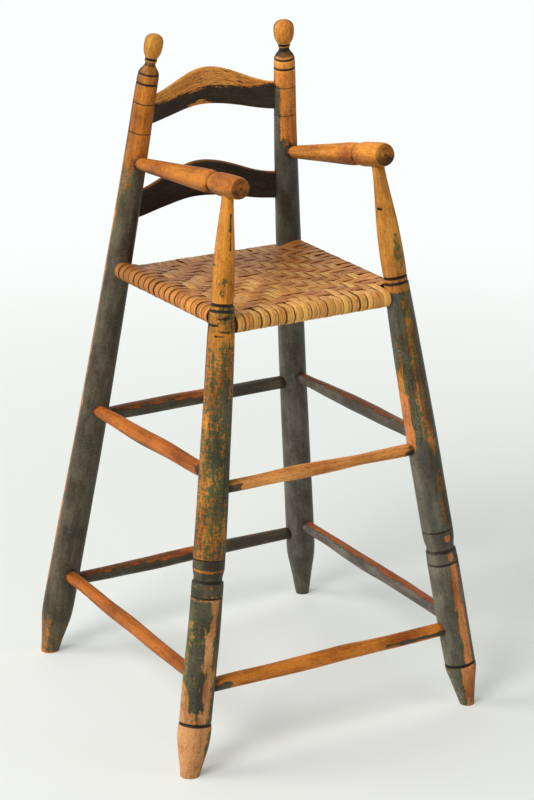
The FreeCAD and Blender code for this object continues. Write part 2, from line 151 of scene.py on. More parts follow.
def grainNoise(tree, vector, scale, detail, rough):
    spot = put(tree, "ShaderNodeVectorMath", {0: vector, 1: scale}, operation="MULTIPLY").outputs[0]
    values = {"Vector": spot, "Scale": 1.0, "Detail": detail, "Roughness": rough}
    return put(tree, "ShaderNodeTexNoise", values).outputs[0]


def around(tree, socket, share):
    # a 0 to 1 value swung round nought
    return calc(tree, "MULTIPLY", calc(tree, "SUBTRACT", socket, 0.5), share)


def newGroup(name, kind, inputs, outputs):
    # inputs are (name, socket type, default), outputs (name, socket type)
    tree = bpy.data.node_groups.new(name, kind)
    for label, socketType, default in inputs:
        socket = tree.interface.new_socket(label, in_out="INPUT", socket_type=socketType)
        if default is not None:
            socket.default_value = default
    for label, socketType in outputs:
        tree.interface.new_socket(label, in_out="OUTPUT", socket_type=socketType)
    start = tree.nodes.new("NodeGroupInput")
    finish = tree.nodes.new("NodeGroupOutput")
    return tree, start.outputs, finish.inputs


# shared finishes

# how ragged a patch's edge is: the noise, then its reach in degrees and in soft heights
patchEdge = {"noise": ((110, 110, 40), 5.0, 0.65), "angle": 60.0, "heights": 3.0}


def buildWearPatch():
    # soft patch on a round piece, by angle round it and height along it, with a ragged edge
    f, v = "NodeSocketFloat", "NodeSocketVector"
    inputs = [
        ("Coord", v, None), ("Angle", f, 0.0), ("Height", f, 0.0), ("Centre", f, 0.0), ("Half Angle", f, 30.0),
        ("Low", f, 0.0), ("High", f, 0.1), ("Soft Angle", f, 12.0), ("Soft Height", f, 0.012),
        ("Ragged", f, 1.0), ("Amount", f, 1.0), ("Wear", f, 0.0),
    ]
    tree, a, out = newGroup("wearPatch", "ShaderNodeTree", inputs, [("Wear", f)])
    shift = around(tree, grainNoise(tree, a["Coord"], *patchEdge["noise"]), a["Ragged"])
    off = calc(tree, "WRAP", calc(tree, "SUBTRACT", a["Angle"], a["Centre"]), 180.0, -180.0)
    off = calc(tree, "ADD", calc(tree, "ABSOLUTE", off), calc(tree, "MULTIPLY", shift, patchEdge["angle"]))
    turned = ease(tree, off, calc(tree, "ADD", a["Half Angle"], a["Soft Angle"]), a["Half Angle"])
    reach = calc(tree, "MULTIPLY", a["Soft Height"], patchEdge["heights"])
    level = calc(tree, "ADD", a["Height"], calc(tree, "MULTIPLY", shift, reach))
    over = ease(tree, level, calc(tree, "SUBTRACT", a["Low"], a["Soft Height"]), a["Low"])
    under = ease(tree, level, calc(tree, "ADD", a["High"], a["Soft Height"]), a["High"])
    mask = calc(tree, "MULTIPLY", turned, calc(tree, "MULTIPLY", over, under))
    tree.links.new(calc(tree, "MULTIPLY_ADD", mask, a["Amount"], a["Wear"]), out["Wear"])
    return tree


# old paint over wood: dark coat, green wash left in the pores under it, then stained and bare wood
paintMix = {
    "amounts": {"Seed": 0.0, "Wear": 0.0, "Ragged": 0.5, "Fine": 0.3, "Lathe": 0.5, "Ruddy": 0.0, "Grime": 0.0},
    "tones": paintTones(
        paint=(60, 53, 43), paintPale=(92, 84, 70), under=(58, 72, 36), stain=(164, 90, 40),
        wood=(206, 128, 42), woodDeep=(140, 74, 22), ruddyTone=(190, 110, 54), ruddyDeep=(134, 70, 32),
    ),
    "noises": {  # scale, detail, roughness
        "streak": ((150, 150, 9), 4.0, 0.6), "thread": ((430, 430, 26), 3.0, 0.6),
        "hatch": ((90, 90, 460), 3.0, 0.65), "blotch": ((42, 42, 22), 5.0, 0.6),
        "fleck": ((620, 620, 420), 2.0, 0.6), "mottle": ((300, 300, 170), 3.0, 0.6),
        "grain": ((230, 230, 8), 4.0, 0.62), "cloud": ((30, 30, 18), 3.0, 0.5),
        "pore": ((560, 560, 70), 2.0, 0.5), "tick": ((70, 70, 640), 2.0, 0.5),
    },
    "sums": {  # noises added together, each by its share
        "coarse": {"streak": 1.7, "blotch": 1.7},
        "fine": {"thread": 1.3, "fleck": 2.2, "hatched": 1.0, "mottle": 1.1},
        "pores": {"mottle": 2.4, "hatched": 1.0},
        "deep": {"grain": 1.7, "cloud": 2.4, "hatched": 0.7, "mottle": 1.2},
        "tone": {"streak": 0.7, "blotch": 2.2, "hatched": 0.5},
    },
    "steps": {  # soft thresholds
        "chipped": (0.27, 0.45), "washed": (0.36, 0.66), "bare": (0.56, 0.80), "tone": (-0.34, 0.46),
        "pore": (0.60, 0.72), "pit": (0.58, 0.70), "tick": (0.62, 0.72),
        "spot": (0.54, 0.72), "thread": (0.56, 0.71), "speck": (0.60, 0.72),
    },
    "tints": {  # strength and color of small marks
        "pit": (0.55, srgb(80, 38, 12)), "spot": (0.50, srgb(38, 34, 28)), "thread": (0.5, srgb(104, 70, 42)),
    },
    "coarseByFine": (-0.7, 1.0), "fineByFine": (0.65, 0.35), "speckByFine": (1.1, -0.4),  # gain and base
    "grimeAndShadeByCloud": (1.2, 0.4), "satinByBlotch": (0.20, 0.36), "satinByWash": 0.05,
    "seedSteps": (0.37, 0.73, 1.31), "hatchShare": 2.4, "washCoarse": 0.3, "shade": 0.40, "stainShare": 0.75,
    "stainDeep": srgb(108, 54, 22), "underDeep": srgb(40, 48, 28), "speckTone": srgb(138, 120, 84),
    # the dark tone laid on last: dirt in turned lines and joints, and painted shade on posts and under the arms
    "grimeAndShadeTone": srgb(34, 25, 15),
    "relief": {"grain": 0.35, "chipped": -0.35, "washed": -0.25, "hatched": 0.25},
}


def buildWornPaint():
    f, v, c = "NodeSocketFloat", "NodeSocketVector", "NodeSocketColor"
    inputs = [("Coord", v, None)]
    inputs += [(label, f, amount) for label, amount in paintMix["amounts"].items()]
    inputs += [(label, c, color) for label, color in paintMix["tones"].items()]
    outputs = [("Color", c), ("Roughness", f), ("Height", f)]
    tree, a, out = newGroup("wornPaint", "ShaderNodeTree", inputs, outputs)
    seeds = joined(tree, *[calc(tree, "MULTIPLY", a["Seed"], step) for step in paintMix["seedSteps"]])
    spot = put(tree, "ShaderNodeVectorMath", {0: a["Coord"], 1: seeds}, operation="ADD").outputs[0]
    raw = {name: grainNoise(tree, spot, *how) for name, how in paintMix["noises"].items()}
    hatched = calc(tree, "MULTIPLY", around(tree, raw["hatch"], paintMix["hatchShare"]), a["Lathe"])

    def mixed(name):
        total = None
        for part, share in paintMix["sums"][name].items():
            swung = calc(tree, "MULTIPLY", hatched, share) if part == "hatched" else around(tree, raw[part], share)
            total = swung if total is None else calc(tree, "ADD", total, swung)
        return total

    def step(value, name):
        return ease(tree, value, *paintMix["steps"][name])

    def tinted(color, mask, name):
        strength, tone = paintMix["tints"][name]
        return blend(tree, calc(tree, "MULTIPLY", mask, strength), color, tone)

    def gained(socket, name, clamp=False):
        return calc(tree, "MULTIPLY_ADD", socket, *paintMix[name], clamp=clamp)

    coarse = mixed("coarse")
    fine = calc(tree, "MULTIPLY", mixed("fine"), gained(a["Fine"], "fineByFine"))
    coatChips = calc(tree, "MULTIPLY_ADD", coarse, gained(a["Fine"], "coarseByFine"), fine)
    washChips = calc(tree, "MULTIPLY_ADD", coarse, paintMix["washCoarse"], mixed("pores"))
    coatWear = calc(tree, "MULTIPLY_ADD", coatChips, a["Ragged"], a["Wear"])
    washWear = calc(tree, "MULTIPLY_ADD", washChips, a["Ragged"], a["Wear"])
    chipped, washed, bare = step(coatWear, "chipped"), step(washWear, "washed"), step(coatWear, "bare")

    # bare wood, with its pores and the ticks of the lathe
    shade = calc(tree, "ADD", mixed("deep"), paintMix["shade"], clamp=True)
    wood = blend(tree, shade, a["Wood"], a["Wood Deep"])
    wood = blend(tree, a["Ruddy"], wood, blend(tree, shade, a["Ruddy Tone"], a["Ruddy Deep"]))
    pit = calc(tree, "MAXIMUM", step(raw["pore"], "pore"), step(raw["fleck"], "pit"))
    tick = calc(tree, "MULTIPLY", step(raw["tick"], "tick"), a["Lathe"])
    wood = tinted(wood, calc(tree, "MAXIMUM", pit, tick), "pit")
    stain = blend(tree, shade, a["Stain"], paintMix["stainDeep"])

    # the coat, spotted and threaded where it is thin
    coat = blend(tree, step(mixed("tone"), "tone"), a["Paint"], a["Paint Pale"])
    coat = tinted(coat, step(raw["mottle"], "spot"), "spot")
    coat = tinted(coat, step(raw["thread"], "thread"), "thread")
    speck = calc(tree, "MULTIPLY", step(raw["fleck"], "speck"), gained(a["Fine"], "speckByFine", True))
    coat = blend(tree, speck, coat, paintMix["speckTone"])

    # the layers from the wood up, with grime and painted shade last
    stained = calc(tree, "MULTIPLY", calc(tree, "SUBTRACT", 1.0, bare), paintMix["stainShare"])
    color = blend(tree, stained, wood, stain)
    color = blend(tree, washed, blend(tree, shade, a["Under"], paintMix["underDeep"]), color)
    color = blend(tree, chipped, coat, color)
    grimeAndShadeMask = calc(tree, "MULTIPLY", a["Grime"], gained(raw["cloud"], "grimeAndShadeByCloud"), clamp=True)
    tree.links.new(blend(tree, grimeAndShadeMask, color, paintMix["grimeAndShadeTone"]), out["Color"])
    satin = gained(raw["blotch"], "satinByBlotch")
    tree.links.new(calc(tree, "MULTIPLY_ADD", washed, paintMix["satinByWash"], satin), out["Roughness"])
    relief = paintMix["relief"]
    height = calc(tree, "MULTIPLY", raw["grain"], relief["grain"])
    for mask, name in ((chipped, "chipped"), (washed, "washed"), (hatched, "hatched")):
        height = calc(tree, "MULTIPLY_ADD", mask, relief[name], height)
    tree.links.new(height, out["Height"])
    return tree


wearPatch = buildWearPatch()
wornPaint = buildWornPaint()
print("paint mixed")

surface = {"bumpStrength": 0.5, "specular": 0.15, "bump": 0.0006, "fine": 0.3, "ruddySoft": (0.01, 0.03)}


def startMaterial(name):
    material = bpy.data.materials.new(name)
    material.use_nodes = True
    tree = material.node_tree
    tree.nodes.clear()
    return material, tree


def finishMaterial(tree, color, roughness, height, bumpDepth):
    bump = put(tree, "ShaderNodeBump", {
        "Strength": surface["bumpStrength"], "Distance": bumpDepth, "Height": height})
    shader = put(tree, "ShaderNodeBsdfPrincipled", {
        "Base Color": color, "Roughness": roughness, "Normal": bump.outputs[0],
        "Specular IOR Level": surface["specular"]})
    put(tree, "ShaderNodeOutputMaterial", {"Surface": shader.outputs[0]})


def finishPaint(tree, values, bumpDepth):
    coat = put(tree, "ShaderNodeGroup", values, node_tree=wornPaint).outputs
    finishMaterial(tree, coat["Color"], coat["Roughness"], coat["Height"], bumpDepth)


def pieceCoord(tree):
    # the place on the piece, kept by its mesh
    return put(tree, "ShaderNodeAttribute", attribute_name="pieceCoord").outputs["Vector"]


def paintedMaterial(name, look):
    material, tree = startMaterial(name)
    coord = pieceCoord(tree)
    x, y, height = split(tree, coord)
    angle = calc(tree, "MULTIPLY", calc(tree, "ARCTAN2", y, x), 180 / math.pi)

    def layered(level, patches):
        for centre, half, low, high, amount, softAngle, softHeight, ragged in patches:
            level = put(tree, "ShaderNodeGroup", {
                "Coord": coord, "Angle": angle, "Height": height, "Centre": centre, "Half Angle": half,
                "Low": low, "High": high, "Soft Angle": softAngle, "Soft Height": softHeight,
                "Ragged": ragged, "Amount": amount, "Wear": level}, node_tree=wearPatch).outputs[0]
        return level

    values = {
        "Coord": coord, "Seed": look["seed"], "Ragged": look["ragged"], "Lathe": look["lathe"],
        "Fine": look.get("fine", surface["fine"]), "Wear": layered(look["wear"], look["patches"]),
        "Grime": layered(0.0, look.get("grime", [])),
    }
    if "ruddy" in look:
        low, high, amount = look["ruddy"]
        softLow, softHigh = surface["ruddySoft"]
        above, below = ease(tree, height, low - softLow, low), ease(tree, height, high + softHigh, high)
        values["Ruddy"] = calc(tree, "MULTIPLY", calc(tree, "MULTIPLY", above, below), amount)
    values.update(look.get("tones", {}))
    finishPaint(tree, values, surface["bump"])
    return material


# pieces

def addPiece(name, mesh, material, replaced):
    mesh.materials.append(material)
    piece = bpy.data.objects.new(name, mesh)
    scene.collection.objects.link(piece)
    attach(piece, "root")
    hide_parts(*replaced)


def smoothRun(points, step):
    # a fair curve through (place, value) points that never overshoots them
    places = [p[0] for p in points]
    if any(b <= a for a, b in zip(places, places[1:])):
        return list(points)
    values = [p[1] for p in points]
    slopes = [(values[k + 1] - values[k]) / (places[k + 1] - places[k]) for k in range(len(points) - 1)]
    tangents = [slopes[0]]
    for before, after in zip(slopes, slopes[1:]):
        tangents.append(2 * before * after / (before + after) if before * after > 0 else 0.0)
    tangents.append(slopes[-1])
    samples = [points[0]]
    for k, gap in enumerate(b - a for a, b in zip(places, places[1:])):
        count = max(1, math.ceil(gap / step))
        for i in range(1, count + 1):
            t = i / count
            r = (2 * t ** 3 - 3 * t ** 2 + 1) * values[k] + (3 * t ** 2 - 2 * t ** 3) * values[k + 1]
            r += ((t ** 3 - 2 * t ** 2 + t) * tangents[k] + (t ** 3 - t ** 2) * tangents[k + 1]) * gap
            samples.append((places[k] + t * gap, r))
    return samples


def readCurve(samples, place):
    for (p0, v0), (p1, v1) in zip(samples, samples[1:]):
        if place <= p1:
            return v0 + (v1 - v0) * max(0.0, (place - p0) / (p1 - p0))
    return samples[-1][1]


def dome(height, radius, rise, count=8, square=0.86):
    # rounded end that closes on the axis, a little fuller than a ball
    turns = [math.pi / 2 * i / count for i in range(count + 1)]
    return [(height + rise * math.sin(t) ** square, radius * max(0.0, math.cos(t)) ** square) for t in turns]


def groove(height, radius, depth, width):
    return [(height - width / 2, radius), (height, radius - depth), (height + width / 2, radius)]


def finishMesh(mesh, name, sharpAngle):
    bmesh.ops.recalc_face_normals(mesh, faces=mesh.faces[:])
    data = bpy.data.meshes.new(name)
    mesh.to_mesh(data)
    mesh.free()
    data.shade_smooth()
    data.set_sharp_from_angle(angle=math.radians(sharpAngle))
    return data


def keepCoords(data, coords):
    layer = data.attributes.new("pieceCoord", "FLOAT_VECTOR", "POINT")
    for k, coord in enumerate(coords):
        layer.data[k].vector = coord


# how a turned piece is made, unless its own make says otherwise
lathe = {
    "step": 0.004, "segments": 72, "bow": None, "bowStep": 0.01, "floor": False, "weld": 1e-6, "sharp": 48,
    "wander": 0.0, "wanderScale": 9, "wanderSeeds": (0.3, 7.9),  # the axis strays a little
    "uneven": 0.006, "lumps": 14, "lumpsRound": 1.3, "flats": 0.0, "flatCount": 3,  # the section isn't quite round
}


def turnedMesh(name, start, way, facing, runs, ownMake):
    # runs of (height, radius) spun round the axis; facing is where angle nought looks
    make = dict(lathe, **ownMake)
    seed, segments = make["seed"], make["segments"]
    rings = []
    for run in runs:
        for point in smoothRun(run, make["step"]):
            if not rings or (Vector(point) - Vector(rings[-1])).length > make["weld"]:
                rings.append(point)
    way = way.normalized()
    side = (facing - way * facing.dot(way)).normalized()
    turn = Matrix((side, way.cross(side), way)).transposed()
    length = rings[-1][0]
    bow = smoothRun(make["bow"], make["bowStep"]) if make["bow"] else None
    mesh = bmesh.new()
    loops = []
    for height, radius in rings:
        share = max(0.0, min(1.0, height / length))
        stray = [noise.noise((height * make["wanderScale"], seed, place)) for place in make["wanderSeeds"]]
        drift = Vector((stray[0], stray[1], 0)) * (make["wander"] * math.sin(math.pi * share))
        if bow:
            drift.y += readCurve(bow, height)
        loop = []
        for k in range(segments):
            angle = 2 * math.pi * k / segments
            out = Vector((math.cos(angle), math.sin(angle), 0))
            spot = (out.x * make["lumpsRound"] + seed, out.y * make["lumpsRound"], height * make["lumps"])
            swell = 1 + make["uneven"] * noise.noise(spot)
            swell -= make["flats"] * abs(math.sin(make["flatCount"] * angle + seed)) ** 2
            local = out * (radius * swell) + drift
            local.z = height
            loop.append(mesh.verts.new(start + turn @ local))
        loops.append(loop)
    for low, high in zip(loops, loops[1:]):
        for k in range(segments):
            mesh.faces.new((low[k], low[(k + 1) % segments], high[(k + 1) % segments], high[k]))
    mesh.faces.new(list(reversed(loops[0])))
    mesh.faces.new(loops[-1])
    if make["floor"]:  # a foot is cut level with the floor
        parts = mesh.verts[:] + mesh.edges[:] + mesh.faces[:]
        cut = bmesh.ops.bisect_plane(mesh, geom=parts, plane_co=(0, 0, 0), plane_no=(0, 0, -1), clear_outer=True)
        edges = [item for item in cut["geom_cut"] if isinstance(item, bmesh.types.BMEdge)]
        bmesh.ops.edgeloop_fill(mesh, edges=edges)
    bmesh.ops.remove_doubles(mesh, verts=mesh.verts[:], dist=make["weld"])
    data = finishMesh(mesh, name, make["sharp"])
    back = turn.transposed()
    coords = [back @ (vert.co - start) for vert in data.vertices]
    if bow:
        for coord in coords:
            coord.y -= readCurve(bow, coord.z)
    keepCoords(data, coords)
    return data


towardPicture = Vector((viewBack().x, viewBack().y, 0))

# rear posts: angles counted from the side that faces the picture, to the picture's right;
# bow is how far the old wood has warped to the picture's right

rearPost = {
    "feet": {
        "right": [
            (-0.006, 0.0118), (0.014, 0.0139), (0.036, 0.0174), (0.058, 0.0206), (0.076, 0.0213), (0.2, 0.0208),
            (0.33, 0.0196),
        ],
        "left": [
            (-0.006, 0.0088), (0.012, 0.0113), (0.034, 0.0142), (0.056, 0.0176), (0.072, 0.0198),
            (0.084, 0.0204), (0.25, 0.0196), (0.33, 0.0191),
        ],
    },
    "shaft": [(0.4687, 0.0183), (0.64, 0.0164), (0.7642, 0.0149)], "egg": {"left": 0.0134, "right": 0.0121},
    "bow": {
        "right": [
            (-0.01, -0.0014), (0.06, -0.0002), (0.14, 0.0008), (0.22, 0.0018), (0.3, 0.0028), (0.4, 0.0035),
            (0.5, 0.0034), (0.6, 0.0029), (0.68, 0.0022), (0.76, 0.0012), (0.83, 0.0), (0.9, 0.0),
        ],
        "left": [
            (-0.01, 0.0004), (0.1, 0.0), (0.2, -0.0009), (0.3, -0.002), (0.42, -0.0029), (0.55, -0.0026),
            (0.65, -0.0024), (0.74, -0.0018), (0.8, -0.0008), (0.85, 0.0), (0.9, 0.0004),
        ],
    },
    "make": {"step": 0.005, "uneven": 0.01, "floor": True},
    "neck": [  # runs of (height, radius) between the shaft and the egg
        groove(0.7670, 0.0149, 0.0004, 0.0012), [(0.7676, 0.0149), (0.8056, 0.0144)],
        groove(0.8062, 0.0144, 0.0004, 0.0012), [(0.8068, 0.0144), (0.8311, 0.0140)],
        [(0.8311, 0.0140), (0.8323, 0.0128), (0.8335, 0.0140)],
        [(0.8335, 0.0140), (0.8400, 0.0138), (0.8445, 0.0133)], groove(0.8450, 0.0133, 0.0005, 0.0010),
        [(0.8455, 0.0132), (0.8490, 0.0117), (0.8525, 0.0090), (0.8560, 0.0069), (0.8600, 0.0066)],
        [(0.8603, 0.0076), (0.8621, 0.0080), (0.8636, 0.0076)],
    ],
    "eggFoot": (0.8636, 0.0074), "eggRise": 0.0117,
    "eggRun": [(0.8660, 0.68), (0.8705, 0.86), (0.8765, 0.97), (0.8825, 1.0), (0.8850, 1.0)],
    "neckGrimeAndShade": [
        band(0.8312, 0.8334, 1.6, 0.0006, 0.1), band(0.7665, 0.7675, 0.8, 0.0005, 0.2),
        band(0.8057, 0.8067, 0.8, 0.0005, 0.2), band(0.8441, 0.8458, 1.2, 0.0007, 0.2),
        band(0.8628, 0.8652, 1.1, 0.001, 0.4), band(0.8555, 0.86, 0.5, 0.001, 0.7),
        # the patches at 92 degrees either side are painted shade down the sides of the neck; the bands are dirt in
        # its turned lines
        (92, 14, 0.66, 0.9, 0.36, 20, 0.01, 0.8), (-92, 22, 0.66, 0.9, 0.38, 22, 0.01, 0.8),
    ],
    "looks": {
        "right": {
            "seed": 3.1, "wear": 0.02, "ragged": 0.58, "fine": 1.0, "lathe": 0.35, "ruddy": (-1.0, 0.826, 0.8),
            "patches": [
                band(0.752, 1.0, 0.96, 0.042, 0.4), (-54, 36, 0.66, 0.745, 0.3, 40, 0.05, 0.7),
                (-84, 15, 0.1, 0.72, 0.56, 8, 0.06, 0.8), (30, 70, 0.7, 0.74, 0.16, 24, 0.02, 0.8),
                (-20, 70, 0.004, 0.046, 0.34, 24, 0.022, 0.9), (-66, 40, 0.012, 0.058, 0.18, 24, 0.016, 1.0),
                (-40, 25, 0.06, 0.62, 0.05, 30, 0.05, 1.8), band(-0.02, 0.002, 0.5, 0.004, 0.6),
            ],
            "grime": [
                band(0.8455, 0.856, 0.14, 0.003, 1.6), (70, 25, 0.05, 0.7, 0.12, 20, 0.03, 1.0),
                # the patch at -62 degrees is painted shade on the lit left of the upper post, evening out the
                # lamps' light
                (-62, 34, 0.73, 0.84, 0.33, 26, 0.02, 0.6),
            ],
            "tones": paintTones(
                stain=(146, 98, 46), wood=(216, 148, 60), woodDeep=(146, 90, 32), under=(112, 106, 74),
                ruddyTone=(214, 130, 50), ruddyDeep=(152, 80, 26), paint=(60, 53, 43), paintPale=(94, 86, 71),
            ),
        },
        "left": {
            "seed": 8.4, "wear": 0.0, "ragged": 0.5, "fine": 1.0, "lathe": 0.35, "ruddy": (-1.0, 0.826, 0.8),
            "patches": [
                band(0.82, 1.0, 1.0, 0.018, 0.8), (44, 54, 0.738, 0.825, 0.74, 34, 0.036, 0.5),
                (-34, 20, 0.74, 0.82, 0.22, 20, 0.02, 1.6), (48, 20, 0.02, 0.066, 0.3, 18, 0.02, 1.9),
                (62, 16, 0.6, 0.64, 0.14, 14, 0.02, 1.4), band(-0.02, 0.002, 0.4, 0.004, 0.6),
                (40, 9, 0.22, 0.52, 0.1, 10, 0.05, 1.4),
            ],
            "grime": [
                band(0.8455, 0.86, 0.42, 0.003, 1.6), (20, 90, 0.85, 0.858, 0.6, 30, 0.002, 1.2),
                band(0.585, 0.712, 0.46, 0.02, 0.5), band(0.12, 0.33, 0.12, 0.04, 0.8),
            ],
            "tones": paintTones(
                stain=(146, 98, 46), wood=(246, 168, 72), woodDeep=(180, 106, 40), under=(60, 68, 40),
                ruddyTone=(220, 138, 62), ruddyDeep=(156, 88, 38), paint=(74, 70, 61), paintPale=(112, 108, 97),
            ),
        },
    },
}


def rearRuns(side):
    radius = rearPost["egg"][side]
    egg = [rearPost["eggFoot"]] + [(z, share * radius) for z, share in rearPost["eggRun"]]
    shaft = rearPost["feet"][side] + rearPost["shaft"]
    return [shaft] + rearPost["neck"] + [egg, dome(egg[-1][0], radius, rearPost["eggRise"])]


def rearLook(side):
    look = rearPost["looks"][side]
    return dict(look, grime=rearPost["neckGrimeAndShade"] + look["grime"])


# front posts

